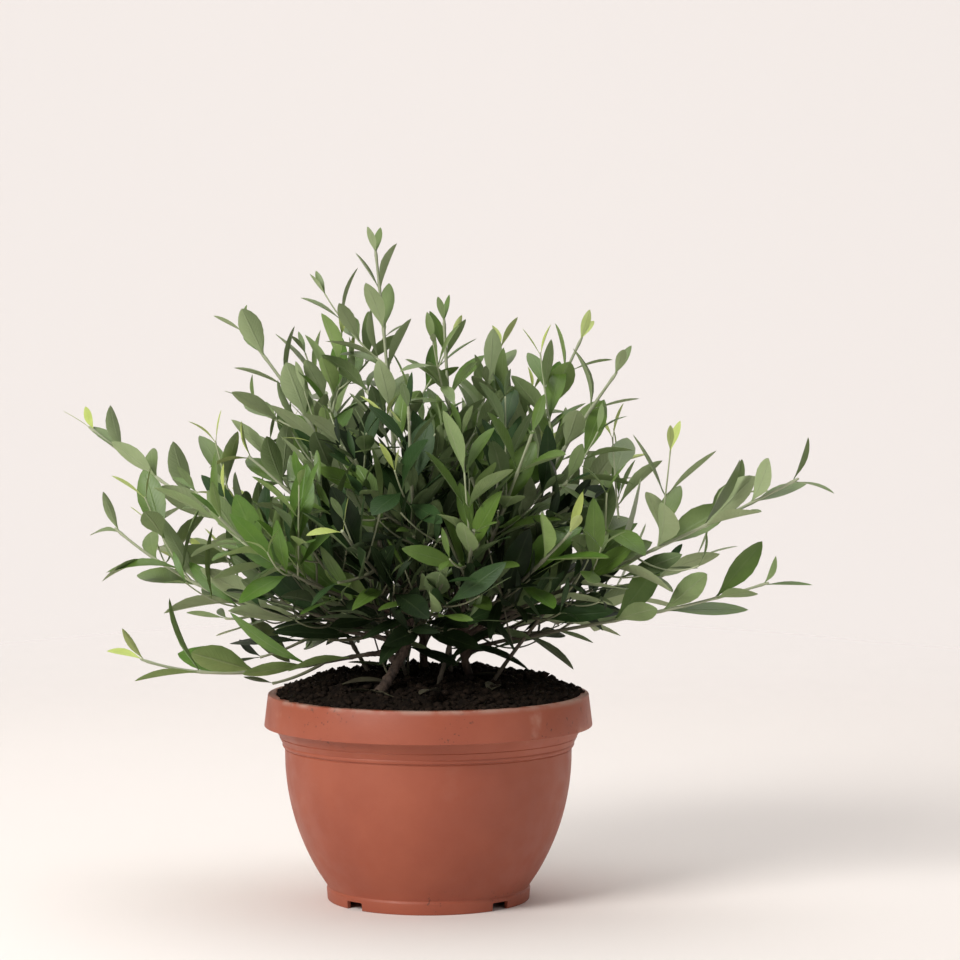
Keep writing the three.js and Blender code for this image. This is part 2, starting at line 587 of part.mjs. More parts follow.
/** The leaves of one shoot that fit in its mass's space and keep clear of other shoots and leaves. */
function growLeaves(shoot, otherShoots, scale, random, inSpace, taken) {
  const leaves = [];
  const pairs = Math.max(1, Math.floor((shoot.length - SHOOT_FOOT) / (PAIR_SPACING * scale)));
  const startRoll = random() * Math.PI;
  for (let pair = 0; pair <= pairs; pair++) {
    const share = (pair + 0.5) / (pairs + 0.5);
    const atTip = pair === pairs;
    const root = shoot.placeAt(atTip ? TIP_PAIR.at : share);
    const tangent = shoot.directionAt(Math.min(share, TIP_PAIR.at));
    for (const side of [0, 1]) {
      const length = leafLength(share, scale, random) * (atTip ? TIP_PAIR.size : 1);
      const lightTurn = THREE.MathUtils.lerp(LIGHT_TURN.least, LIGHT_TURN.most, random());
      const spread = THREE.MathUtils.lerp(LEAF_ANGLE.base, LEAF_ANGLE.tip, share);
      const angle = THREE.MathUtils.degToRad(spread + LEAF_ANGLE.scatter * (2 * random() - 1));
      const roll = startRoll + pair * QUARTER_TURN + side * Math.PI + ROLL_SCATTER * (2 * random() - 1);
      for (let attempt = 0; attempt < TRIES; attempt++) {
        const turn = roll + (attempt % 2 ? -1 : 1) * RETRY.turn * Math.ceil(attempt / 2);
        const opening = angle * (1 - RETRY.narrower * attempt);
        const leaf = placeLeaf(root, tangent, turn, opening, length, lightTurn);
        const outline = leafOutline(leaf);
        const free =
          leafSamples(leaf).every((at) => inSpace(at)) &&
          !taken.some((other) => leavesMeet(outline, other)) &&
          !otherShoots.some(({ line }) => cutByLine(outline, line));
        if (free) {
          leaves.push(leaf);
          taken.push(outline);
          break;
        }
      }
    }
  }
  return leaves;
}

/** The side twigs of a leader: each leaves on the next side round, and is skipped where it has no room. */
function growTwigs(leader, shoot, random, inSpace) {
  const twigs = [];
  for (let i = 0; i < leader.twigs; i++) {
    const share = TWIG.first + ((TWIG.last - TWIG.first) * (i + TWIG.scatter * random())) / leader.twigs;
    const root = shoot.placeAt(share);
    const tangent = shoot.directionAt(share);
    const [level, upper] = crossDirections(tangent);
    const firstRoll = i * TWIG.turn + random() * TWIG.turn * TWIG.scatter;
    const length = Math.max(TWIG.shortest, leader.length * TWIG.share * (1 - share / 2));
    for (let attempt = 0; attempt < TRIES; attempt++) {
      const roll = firstRoll + attempt * QUARTER_TURN;
      const side = level.clone().multiplyScalar(Math.cos(roll)).addScaledVector(upper, Math.sin(roll));
      const angle = THREE.MathUtils.degToRad(TWIG.angle * (1 - RETRY.narrower * attempt));
      const along = tangent.clone().multiplyScalar(Math.cos(angle)).addScaledVector(side, Math.sin(angle));
      const end = root.clone().addScaledVector(along, length).addScaledVector(UP, TWIG.lift * length);
      const middle = root.clone().addScaledVector(along, length / 2);
      const curve = new THREE.QuadraticBezierCurve3(root, middle, end);
      if (TWIG.testedAt.every((at) => inSpace(curve.getPoint(at), TWIG.base))) {
        twigs.push(shootAlong(curve, 0, TWIG.steps, TWIG.base, TWIG.tip));
        break;
      }
    }
  }
  return twigs;
}

/** A fused solid without the scraps and the sealed hollows that fusing can leave. */
function largestBody(solid) {
  return solid.decompose().reduce((best, body) => (body.volume() > best.volume() ? body : best));
}

/** Whether every edge of a solid joins just two faces, also once its corners are rounded. */
function isSound(solid) {
  const { vertProperties, triVerts } = solid.getMesh();
  const corner = (i) => vertProperties.slice(3 * i, 3 * i + 3).map((v) => Math.round(v * ROUNDING)).join();
  const facesAt = new Map();
  for (let i = 0; i < triVerts.length; i += 3) {
    const corners = [corner(triVerts[i]), corner(triVerts[i + 1]), corner(triVerts[i + 2])];
    corners.forEach((from, j) => {
      const edge = [from, corners[(j + 1) % 3]].sort().join(" ");
      facesAt.set(edge, (facesAt.get(edge) ?? 0) + 1);
    });
  }
  return [...facesAt.values()].every((count) => count === 2);
}

/** Solids fused into one, its tiniest faces merged as far as it stays sound. */
function fuse(solids) {
  const fused = wasm.Manifold.union(solids).asOriginal();
  const merged = FUSE_TOLERANCES.map((tolerance) => () => largestBody(fused.simplify(tolerance)));
  return (merged.find((make) => isSound(make())) ?? merged[0])();
}

/** One mass of foliage: the leader's leafy shoot, its side twigs and all their leaves in one solid. */
function buildMass(leader, leaders, stemLines, taken) {
  const random = seededRandom(SEED.first + SEED.step * leader.index);
  const inSpace = ownSpace(leader, leaders, stemLines);
  const gapShare = leader.bare === 0 ? 0 : GAP / leader.length;
  const main = mainShoot(leader.curve, leader.bareShare + gapShare);
  const shoots = [main, ...growTwigs(leader, main, random, inSpace)];
  const leaves = shoots.flatMap((shoot) => {
    const otherShoots = shoots.filter((other) => other !== shoot);
    return growLeaves(shoot, otherShoots, leader.leafScale, random, inSpace, taken);
  });
  return fuse([...shoots.map(shootSolid), ...leaves.map(leafSolid)]);
}

/** The stems: each with its name, the curve it follows and its solid. */
function buildStems() {
  return Object.entries(STEMS).map(([name, stem]) => {
    const curve = stemCurve(stem);
    return { name, curve, solid: buildStem(stem, curve) };
  });
}

/** The whole plant in its pot, one mesh for each solid. */
function buildPlant() {
  const plant = new THREE.Group();
  const stems = buildStems();
  const leaders = layOutLeaders(stems);
  const stemLines = stems.map(({ curve }) => pointsAlong(curve, 0, 1, STEM_RINGS.length - 1));
  const taken = [];
  plant.add(meshOf("pot", buildPot(), PAINT.pot));
  plant.add(meshOf("soil", buildSoil(), PAINT.soil));
  for (const { name, solid } of stems) plant.add(meshOf(name, solid, PAINT.bark));
  for (const leader of leaders) {
    if (leader.bare !== 0) {
      plant.add(meshOf("bough_" + leader.name, boughSolid(leader.curve, leader.bareShare), PAINT.bark));
    }
    plant.add(meshOf("leaves_" + leader.name, buildMass(leader, leaders, stemLines, taken), PAINT.foliage));
  }
  return plant;
}

export default buildPlant();
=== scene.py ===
"""A young olive bush in a bowl pot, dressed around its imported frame.

Blender's lengths are metres, +Z is up and -Y is the front. The plant is grown in millimetres, by the same
rule and from the same seeds as the frame's own solids, then carried on to finer twigs within the same reach.
MM turns millimetres into metres where a mesh is made.
"""

import logging
import math
from collections.abc import Callable, Iterable, Sequence
from dataclasses import dataclass, field, replace
from enum import Enum

import bmesh
import bpy
import numpy as np
from bmesh.types import BMEdge, BMesh, BMFace, BMVert
from bpy.types import ID, Material, Mesh, Node, NodeSocket, NodeTree, Object, ShaderNodeTree
from mathutils import Matrix, Vector, noise


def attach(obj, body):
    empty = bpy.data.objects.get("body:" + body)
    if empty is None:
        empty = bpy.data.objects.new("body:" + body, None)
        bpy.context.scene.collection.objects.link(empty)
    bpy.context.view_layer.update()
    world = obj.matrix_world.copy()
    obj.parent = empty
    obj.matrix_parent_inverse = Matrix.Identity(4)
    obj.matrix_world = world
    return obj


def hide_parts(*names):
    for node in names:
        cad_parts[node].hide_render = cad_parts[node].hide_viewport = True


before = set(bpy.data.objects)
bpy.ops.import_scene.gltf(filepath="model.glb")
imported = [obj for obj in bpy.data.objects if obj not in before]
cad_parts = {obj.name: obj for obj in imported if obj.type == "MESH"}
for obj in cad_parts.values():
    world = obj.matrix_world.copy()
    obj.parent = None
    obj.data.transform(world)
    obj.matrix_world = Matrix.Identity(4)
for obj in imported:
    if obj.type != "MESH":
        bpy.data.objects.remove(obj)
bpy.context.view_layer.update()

log = logging.getLogger("olive")

MM = 0.001
UP = Vector((0, 0, 1))
GAP = 0.3
LEAF_MAP = "leaf"
COARSE_SCALE = 0.17
VEIN_SLANT = 0.35
VEIN_DEPTH = 0.25
BODY = "root"
Pair = tuple[float, float]
Point = tuple[float, float, float]
Colour = tuple[float, float, float]


class Slot(Enum):
    """The record's material slots."""

    POT = "pot"
    SOIL = "soil"
    BARK = "bark"
    FOLIAGE = "foliage"


class Tint(Enum):
    """The tints that sprays of leaves are dealt. Dark and deep are partly older leaves and partly painted
    shade for the bush's heart; grey is partly painted light for its outside; tender is the young growth at
    the tips.
    """

    DARK = "dark"
    DEEP = "deep"
    GREEN = "green"
    GREY = "grey"
    FRESH = "fresh"
    TENDER = "tender"


class Rank(Enum):
    """What a shoot is: a leader, stem or sucker, a side twig as in the frame, or a finer twig."""

    MAIN = 0
    TWIG = 1
    FINER = 2


# Shared helpers: numbers, meshes and node graphs.


def lerp(start: float, end: float, share: float) -> float:
    """The value a share of the way from start to end."""
    return start + (end - start) * share


def unit(value: float) -> float:
    """The value, held between 0 and 1."""
    return min(1.0, max(0.0, value))


class SeededRandom:
    """Numbers from 0 to 1 that are the same on every run, drawn as the frame's own source draws them."""

    MASK = 0xFFFFFFFF
    STEP = 0x6D2B79F5
    SPAN = 2**32

    def __init__(self, seed: int) -> None:
        """Starts the row of numbers at a seed."""
        self.state = seed & self.MASK

    def __call__(self) -> float:
        """The next number."""
        mask = self.MASK
        self.state = (self.state + self.STEP) & mask
        mixed = ((self.state ^ (self.state >> 15)) * (self.state | 1)) & mask
        mixed ^= (mixed + (mixed ^ (mixed >> 7)) * (mixed | 61)) & mask
        return ((mixed ^ (mixed >> 14)) & mask) / self.SPAN

    def between(self, low: float, high: float) -> float:
        """The next number, spread from low to high."""
        return lerp(low, high, self())


def linked(name: str, data: ID) -> Object:
    """A new object in the scene that shows some data."""
    shown = bpy.data.objects.new(name, data)
    bpy.context.scene.collection.objects.link(shown)
    return shown


def place_piece(
    mesh: Mesh, name: str, slot: Slot, finishes: Iterable[Material], nodes: Iterable[str] = ()
) -> Object:
    """Shows a mesh as a piece that rides on the part's one body.

    Args:
        mesh: The finished mesh, in metres, in the row frame.
        name: The piece's name.
        slot: The record's slot for the piece's finish; not used.
        finishes: The materials of its faces, by their index.
        nodes: The frame's nodes that the piece stands for.

    Returns:
        The object that shows the mesh.
    """
    mesh.name = name
    for finish in finishes:
        mesh.materials.append(finish)
    piece = linked(name, mesh)
    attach(piece, BODY)
    nodes = list(nodes)
    if nodes:
        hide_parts(*nodes)
    log.info("%s: %d faces, stands for %d nodes", name, len(mesh.polygons), len(nodes))
    return piece


def smoothed(mesh: Mesh, sharp_above: float) -> Mesh:
    """Shades a mesh smooth, but for edges that turn by more than some degrees, and gives it back."""
    mesh.shade_smooth()
    mesh.set_sharp_from_angle(angle=math.radians(sharp_above))
    return mesh


def mesh_from(shape: BMesh) -> Mesh:
    """Turns a bmesh, in metres, into a mesh and frees it."""
    mesh = bpy.data.meshes.new("shape")
    shape.to_mesh(mesh)
    shape.free()
    return mesh


def evaluated(carrier: Object) -> Mesh:
    """The bare mesh that an object in the scene comes out as; the object is taken out again."""
    mesh = bpy.data.meshes.new_from_object(carrier.evaluated_get(bpy.context.evaluated_depsgraph_get()))
    bpy.data.objects.remove(carrier)
    mesh.materials.clear()
    return mesh


def applied(mesh: Mesh, modifiers: Sequence[tuple[str, dict[str, object]]]) -> Mesh:
    """Runs modifiers on a mesh and returns what comes out of them.

    Args:
        mesh: The mesh to change.
        modifiers: Each modifier's type with its settings.

    Returns:
        A new mesh, with the modifiers applied.
    """
    carrier = linked("carrier", mesh)
    for kind, settings in modifiers:
        modifier = carrier.modifiers.new(kind.lower(), kind)
        for name, value in settings.items():
            setattr(modifier, name, value)
    return evaluated(carrier)


def tubes(lines: Iterable[tuple[Sequence[Vector], Sequence[float]]], roundness: int) -> Mesh:
    """Round closed tubes along lines of points, joined in one mesh.

    Args:
        lines: For each tube its points and its radius at each of them, in millimetres.
        roundness: The curve's bevel resolution; a tube has 2 * roundness + 4 sides.

    Returns:
        The mesh, in metres.
    """
    curve = bpy.data.curves.new("tubes", "CURVE")
    curve.dimensions = "3D"
    curve.bevel_depth = MM
    curve.bevel_resolution = roundness
    curve.use_fill_caps = True
    for points, radii in lines:
        spline = curve.splines.new("POLY")
        spline.points.add(len(points) - 1)
        for knot, point, radius in zip(spline.points, points, radii):
            knot.co = (*(point * MM), 1)
            knot.radius = radius
    mesh = evaluated(linked("tubes", curve))
    bpy.data.curves.remove(curve)
    return smoothed(mesh, sharp_above=60)


class Graph:
    """A node tree that is being wired up."""

    def __init__(self, tree: NodeTree) -> None:
        """Empties the tree."""
        self.tree = tree
        tree.nodes.clear()

    def feed(self, node: Node, key: str | int, value: object) -> None:
        """Feeds a node's input from a socket, or sets it to a number, a place or a colour.

        Args:
            node: The node.
            key: The input's name or place.
            value: The socket or the value.
        """
        socket = node.inputs[key]
        if isinstance(value, NodeSocket):
            self.tree.links.new(value, socket)
        else:
            socket.default_value = (*value, 1) if socket.type == "RGBA" else value

    def add(
        self, kind: str, inputs: dict[str | int, object] | None = None, **settings: object
    ) -> Node:
        """Adds a node.

        Args:
            kind: The node's type.
            inputs: For each input, by name or place, a value or the socket that feeds it.
            settings: The node's own properties.

        Returns:
            The node.
        """
        node = self.tree.nodes.new(kind)
        for name, value in settings.items():
            setattr(node, name, value)
        for key, value in (inputs or {}).items():
            self.feed(node, key, value)
        return node

    def place(self) -> NodeSocket:
        """The place on the object that is being shaded."""
        return self.add("ShaderNodeTexCoord").outputs["Object"]

    def noise(self, place: object, scale: object, detail: float, roughness: float = 0.5) -> NodeSocket:
        """A soft noise over places, from 0 to 1."""
        inputs = {"Vector": place, "Scale": scale, "Detail": detail, "Roughness": roughness}
        return self.add("ShaderNodeTexNoise", inputs).outputs[0]

    def mix(self, share: object, low: object, high: object) -> NodeSocket:
        """A mix of two colours.

        Args:
            share: How much of the high colour there is.
            low: The colour at a share of 0.
            high: The colour at a share of 1.

        Returns:
            The mixed colour's socket.
        """
        return self.add("ShaderNodeMix", {0: share, 6: low, 7: high}, data_type="RGBA").outputs[2]

    def math(self, operation: str, first: object, second: object = 0.0) -> NodeSocket:
        """The result of a sum on two numbers or sockets."""
        return self.add("ShaderNodeMath", {0: first, 1: second}, operation=operation).outputs[0]

    def ramp(
        self, value: object, low: float, high: float, to_low: float = 0, to_high: float = 1
    ) -> NodeSocket:
        """A number carried smoothly from one range to another.

        Args:
            value: The number's socket.
            low: The value that gives to_low.
            high: The value that gives to_high.
            to_low: What comes out at low.
            to_high: What comes out at high.

        Returns:
            The socket of the number that comes out.
        """
        inputs = {"Value": value, "From Min": low, "From Max": high, "To Min": to_low, "To Max": to_high}
        return self.add("ShaderNodeMapRange", inputs, interpolation_type="SMOOTHSTEP").outputs[0]


def new_group(
    name: str,
    inputs: dict[str, float | Colour],
    outputs: dict[str, str],
    wire: Callable[[Graph, Node], dict[str, NodeSocket]],
) -> ShaderNodeTree:
    """Builds a shader node group once.

    Args:
        name: The group's name.
        inputs: Each input's name and its default, a number or a colour.
        outputs: Each output's name and its socket type.
        wire: Wires the group from its graph and its input node, and returns each output's socket.

    Returns:
        The group.
    """
    if name in bpy.data.node_groups:
        return bpy.data.node_groups[name]
    tree = bpy.data.node_groups.new(name, "ShaderNodeTree")
    for label, value in inputs.items():
        is_colour = isinstance(value, tuple)
        kind = "NodeSocketColor" if is_colour else "NodeSocketFloat"
        socket = tree.interface.new_socket(label, in_out="INPUT", socket_type=kind)
        socket.default_value = (*value, 1) if is_colour else value
    for label, kind in outputs.items():
        tree.interface.new_socket(label, in_out="OUTPUT", socket_type=kind)
    graph = Graph(tree)
    source = graph.add("NodeGroupInput")
    graph.add("NodeGroupOutput", dict(wire(graph, source)))
    return tree


def uneven_tone() -> ShaderNodeTree:
    """The group for an uneven colour: two tones in soft blotches, stretched along Z where asked."""

    def wire(graph: Graph, source: Node) -> dict[str, NodeSocket]:
        stretch = graph.add("ShaderNodeCombineXYZ", {0: 1.0, 1: 1.0, 2: source.outputs["Along Z"]})
        inputs = {0: graph.place(), 1: stretch.outputs[0]}
        scaled = graph.add("ShaderNodeVectorMath", inputs, operation="MULTIPLY").outputs[0]
        blotches = graph.noise(scaled, source.outputs["Scale"], detail=5, roughness=0.6)
        mask = graph.ramp(blotches, low=0.32, high=0.68)
        share = graph.math("MULTIPLY", mask, source.outputs["Amount"])
        return {"Color": graph.mix(share, source.outputs["Base"], source.outputs["Tone"])}

    inputs = {"Base": (0.5, 0.5, 0.5), "Tone": (0.3, 0.3, 0.3), "Scale": 20.0, "Along Z": 1.0, "Amount": 1.0}
    return new_group("uneven_tone", inputs, {"Color": "NodeSocketColor"}, wire)


def fine_grain() -> ShaderNodeTree:
    """The group for a surface's small relief: a fine grain over a coarse one, as a height from 0 to 1."""

    def wire(graph: Graph, source: Node) -> dict[str, NodeSocket]:
        place = graph.place()
        wide = graph.math("MULTIPLY", source.outputs["Scale"], COARSE_SCALE)
        coarse = graph.noise(place, wide, detail=3)
        fine = graph.noise(place, source.outputs["Scale"], detail=2)
        share = source.outputs["Coarse"]
        rest = graph.math("SUBTRACT", 1.0, share)
        height = graph.math("ADD", graph.math("MULTIPLY", coarse, share), graph.math("MULTIPLY", fine, rest))
        return {"Height": height}

    return new_group("fine_grain", {"Scale": 800.0, "Coarse": 0.5}, {"Height": "NodeSocketFloat"}, wire)


def leaf_veins() -> ShaderNodeTree:
    """The group for a leaf's midrib and faint side veins, from the leaf's own UV map."""

    def wire(graph: Graph, source: Node) -> dict[str, NodeSocket]:
        place = graph.add("ShaderNodeUVMap", uv_map=LEAF_MAP).outputs[0]
        along, across, _ = graph.add("ShaderNodeSeparateXYZ", {0: place}).outputs
        off_rib = graph.math("ABSOLUTE", graph.math("SUBTRACT", across, 0.5))
        rib = graph.ramp(off_rib, low=0.012, high=0.06, to_low=1, to_high=0)
        slant = graph.math("SUBTRACT", along, graph.math("MULTIPLY", off_rib, VEIN_SLANT))
        wave = graph.math("SINE", graph.math("MULTIPLY", slant, source.outputs["Veins"]))
        veins = graph.ramp(wave, low=0.55, high=1.0)
        height = graph.math("ADD", rib, graph.math("MULTIPLY", veins, VEIN_DEPTH))
        return {"Rib": rib, "Height": height}

    outputs = {"Rib": "NodeSocketFloat", "Height": "NodeSocketFloat"}
    return new_group("leaf_veins", {"Veins": 95.0}, outputs, wire)


@dataclass(frozen=True)
class Finish:
    """A finish: its colour with a second tone in blotches, its gloss and its grain."""

    name: str
    colour: Colour
    tone: Colour
    scale: float = 20.0
    along_z: float = 1.0
    amount: float = 1.0
    roughness: float = 0.6
    grain: float = 900.0
    coarse: float = 0.5
    relief: float = 0.1
    specular: float = 0.5

    def start(self) -> tuple[Material, Graph, Node, Node]:
        """Begins the material with its uneven colour and its shader.

        Returns:
            The material, its graph, the node of the uneven colour and the shader.
        """
        material = bpy.data.materials.new(self.name)
        material.use_nodes = True
        graph = Graph(material.node_tree)
        inputs = {"Base": self.colour, "Tone": self.tone, "Scale": self.scale}
        inputs |= {"Along Z": self.along_z, "Amount": self.amount}
        tone = graph.add("ShaderNodeGroup", inputs, node_tree=uneven_tone())
        inputs = {"Base Color": tone.outputs["Color"], "Roughness": self.roughness}
        inputs |= {"Specular IOR Level": self.specular}
        shader = graph.add("ShaderNodeBsdfPrincipled", inputs)
        graph.add("ShaderNodeOutputMaterial", {"Surface": shader.outputs[0]})
        return material, graph, tone, shader

    def grained(self, graph: Graph) -> NodeSocket:
        """The height of the finish's grain, in a graph."""
        inputs = {"Scale": self.grain, "Coarse": self.coarse}
        return graph.add("ShaderNodeGroup", inputs, node_tree=fine_grain()).outputs["Height"]

    def bump(self, graph: Graph, shader: Node, height: NodeSocket | None = None) -> None:
        """Feeds a height to the shader as relief.

        Args:
            graph: The material's graph.
            shader: Its shader.
            height: The socket of the height; None for the finish's own grain.
        """
        inputs = {"Strength": self.relief, "Distance": MM, "Height": height or self.grained(graph)}
        graph.feed(shader, "Normal", graph.add("ShaderNodeBump", inputs).outputs[0])

    def material(self) -> Material:
        """The finish as a material."""
        material, graph, _, shader = self.start()
        self.bump(graph, shader)
        return material


@dataclass(frozen=True)
class Peaks:
    """Where a noise peaks: its scale and detail, the values that a mask opens between, and its most."""

    scale: float
    detail: float
    low: float
    high: float
    most: float = 1

    def mask(self, graph: Graph, place: NodeSocket) -> NodeSocket:
        """The mask at a place, from 0 to its most."""
        return graph.ramp(graph.noise(place, self.scale, self.detail), self.low, self.high, 0, self.most)


@dataclass(frozen=True)
class MouldedPlastic(Finish):
    """Matt moulded plastic with dry dust on its rim, pale scuffs and dark specks. Metres."""

    dust: Colour = (0.46, 0.33, 0.27)
    dust_band: Pair = (0.1285, 0.1322)
    dust_most: float = 0.6
    dust_noise: Pair = (70, 6)
    dust_breaks: Pair = (0.35, 0.62)
    dust_dulls: float = 0.3
    scuffs: Colour = (0.52, 0.27, 0.20)
    scuff_streaks: Peaks = Peaks(34, 9, 0.60, 0.75, 0.55)
    least_scuffs: float = 0.12
    dirt: Colour = (0.10, 0.035, 0.022)
    dirt_specks: Peaks = Peaks(420, 2, 0.62, 0.70)
    dirt_patches: Peaks = Peaks(28, 1, 0.52, 0.62)
    dirt_most: float = 0.8
    least_dirt: float = 0.05
    foot_band: Pair = (0.008, 0.019)
    rim_band: Pair = (0.104, 0.113)
    sheen_breaks: Pair = (0.3, 0.7)
    sheen_span: Pair = (-0.06, 0.08)

    def material(self) -> Material:
        """The finish as a material: dust by height, scuffs and specks where noises peak at foot and rim."""
        material, graph, tone, shader = self.start()
        place = graph.place()
        height = graph.add("ShaderNodeSeparateXYZ", {0: place}).outputs[2]
        near_foot = graph.ramp(height, *self.foot_band, 1, 0)
        near_ends = graph.math("ADD", near_foot, graph.ramp(height, *self.rim_band))
        share = graph.math("MAXIMUM", near_ends, self.least_scuffs)
        worn = graph.math("MULTIPLY", self.scuff_streaks.mask(graph, place), share)
        colour = graph.mix(worn, tone.outputs["Color"], self.scuffs)
        specks, patches = (peaks.mask(graph, place) for peaks in (self.dirt_specks, self.dirt_patches))
        dirty = graph.math("MULTIPLY", specks, patches)
        dirty = graph.math("MULTIPLY", dirty, graph.math("MAXIMUM", near_ends, self.least_dirt))
        colour = graph.mix(graph.math("MULTIPLY", dirty, self.dirt_most), colour, self.dirt)
        broken = graph.noise(place, *self.dust_noise)
        film = graph.ramp(height, *self.dust_band, 0, self.dust_most)
        dusty = graph.math("MULTIPLY", film, graph.ramp(broken, *self.dust_breaks))
        graph.feed(shader, "Base Color", graph.mix(dusty, colour, self.dust))
        low, high = self.sheen_span
        sheen = graph.ramp(broken, *self.sheen_breaks, self.roughness + low, self.roughness + high)
        dulled = graph.math("MULTIPLY", dusty, self.dust_dulls)
        graph.feed(shader, "Roughness", graph.math("ADD", sheen, dulled))
        self.bump(graph, shader)
        return material


@dataclass(frozen=True)
class AgeingShoot(Finish):
    """A shoot's skin, woody near the middle of the bush and young and pale towards its outside."""

    young: Colour = (0.34, 0.37, 0.24)
    middle: Point = (0.0, 0.0, 0.165)
    woody_within: float = 0.06
    young_beyond: float = 0.17

    def material(self) -> Material:
        """The finish as a material, ageing by the distance from the middle of the bush."""
        material, graph, tone, shader = self.start()
        inputs = {0: graph.place(), 1: self.middle}
        far = graph.add("ShaderNodeVectorMath", inputs, operation="DISTANCE").outputs["Value"]
        age = graph.ramp(far, self.woody_within, self.young_beyond)
        graph.feed(shader, "Base Color", graph.mix(age, tone.outputs["Color"], self.young))
        self.bump(graph, shader)
        return material


@dataclass(frozen=True)
class LeafFace(Finish):
    """One face of a leaf, with a paler midrib and faint side veins."""

    rib: Colour = (0.25, 0.32, 0.14)
    rib_share: float = 0.5
    grain_share: float = 0.3

    def material(self) -> Material:
        """The finish as a material, its veins laid by the leaf's own UV map."""
        material, graph, tone, shader = self.start()
        veins = graph.add("ShaderNodeGroup", node_tree=leaf_veins())
        share = graph.math("MULTIPLY", veins.outputs["Rib"], self.rib_share)
        graph.feed(shader, "Base Color", graph.mix(share, tone.outputs["Color"], self.rib))
        lift = graph.math("MULTIPLY", self.grained(graph), self.grain_share)
        self.bump(graph, shader, graph.math("ADD", veins.outputs["Height"], lift))
        return material


TERRACOTTA = MouldedPlastic(
    "terracotta_plastic", (0.346, 0.085, 0.042), (0.301, 0.069, 0.034), scale=14.0, roughness=0.52,
    relief=0.12,
)
DAMP_SOIL = Finish(
    "damp_soil", (0.006, 0.004, 0.003), (0.017, 0.011, 0.007), scale=160.0, roughness=0.95, grain=1500.0,
    relief=0.5, specular=0.12,
)
CRUMB = Finish(
    "soil_crumb", (0.006, 0.004, 0.003), (0.024, 0.015, 0.010), scale=260.0, roughness=0.95, relief=0.4,
    specular=0.12,
)
YOUNG_BARK = Finish(
    "young_bark", (0.088, 0.056, 0.040), (0.028, 0.017, 0.012), scale=150.0, along_z=0.25, roughness=0.85,
    grain=1400.0, relief=0.5,
)
WOODY_SHOOT = AgeingShoot(
    "woody_shoot", (0.100, 0.080, 0.055), (0.055, 0.042, 0.028), scale=120.0, roughness=0.75, relief=0.25
)
GREEN_SHOOT = AgeingShoot(
    "green_shoot", (0.110, 0.105, 0.062), (0.075, 0.070, 0.040), scale=90.0, roughness=0.65, relief=0.15,
    young=(0.40, 0.44, 0.27),
)
FALLEN = Finish(
    "fallen_leaf", (0.090, 0.085, 0.045), (0.050, 0.038, 0.022), scale=110.0, roughness=0.8, relief=0.3
)

# The dark and deep colours, near black, are painted shade for sprays in the bush's heart, partly also older
# leaves; the grey colours are partly painted light for sprays on its outside.
UPPER_COLOURS = {
    Tint.DARK: ((0.009, 0.019, 0.006), (0.014, 0.027, 0.008)),
    Tint.DEEP: ((0.022, 0.053, 0.014), (0.031, 0.067, 0.018)),
    Tint.GREEN: ((0.084, 0.150, 0.023), (0.106, 0.178, 0.031)),
    Tint.GREY: ((0.132, 0.192, 0.060), (0.160, 0.222, 0.075)),
    Tint.FRESH: ((0.070, 0.150, 0.017), (0.096, 0.185, 0.023)),
    Tint.TENDER: ((0.400, 0.480, 0.120), (0.460, 0.540, 0.150)),
}
UNDER_COLOURS = {
    Tint.DARK: ((0.048, 0.074, 0.030), (0.060, 0.090, 0.038)),
    Tint.DEEP: ((0.125, 0.180, 0.074), (0.145, 0.202, 0.088)),
    Tint.GREEN: ((0.205, 0.282, 0.115), (0.232, 0.310, 0.132)),
    Tint.GREY: ((0.310, 0.382, 0.196), (0.342, 0.414, 0.220)),
    Tint.FRESH: ((0.210, 0.305, 0.095), (0.240, 0.340, 0.112)),
    Tint.TENDER: ((0.430, 0.510, 0.180), (0.470, 0.550, 0.215)),
}


def leaf_materials(tint: Tint) -> list[Material]:
    """The materials of a tint's upper and lower leaf faces."""
    shaded = tint in (Tint.DARK, Tint.DEEP)
    upper = LeafFace(
        f"leaf_upper_{tint.value}", *UPPER_COLOURS[tint], scale=75.0, roughness=0.48 if shaded else 0.42,
        relief=0.25, specular=0.22 if shaded else 0.42, rib_share=0.05 if shaded else 0.11,
    )
    under = LeafFace(
        f"leaf_under_{tint.value}", *UNDER_COLOURS[tint], scale=90.0, roughness=0.68, relief=0.45,
        specular=0.3, rib=(0.34, 0.38, 0.24), rib_share=0.25,
    )
    return [upper.material(), under.material()]


# The pot.


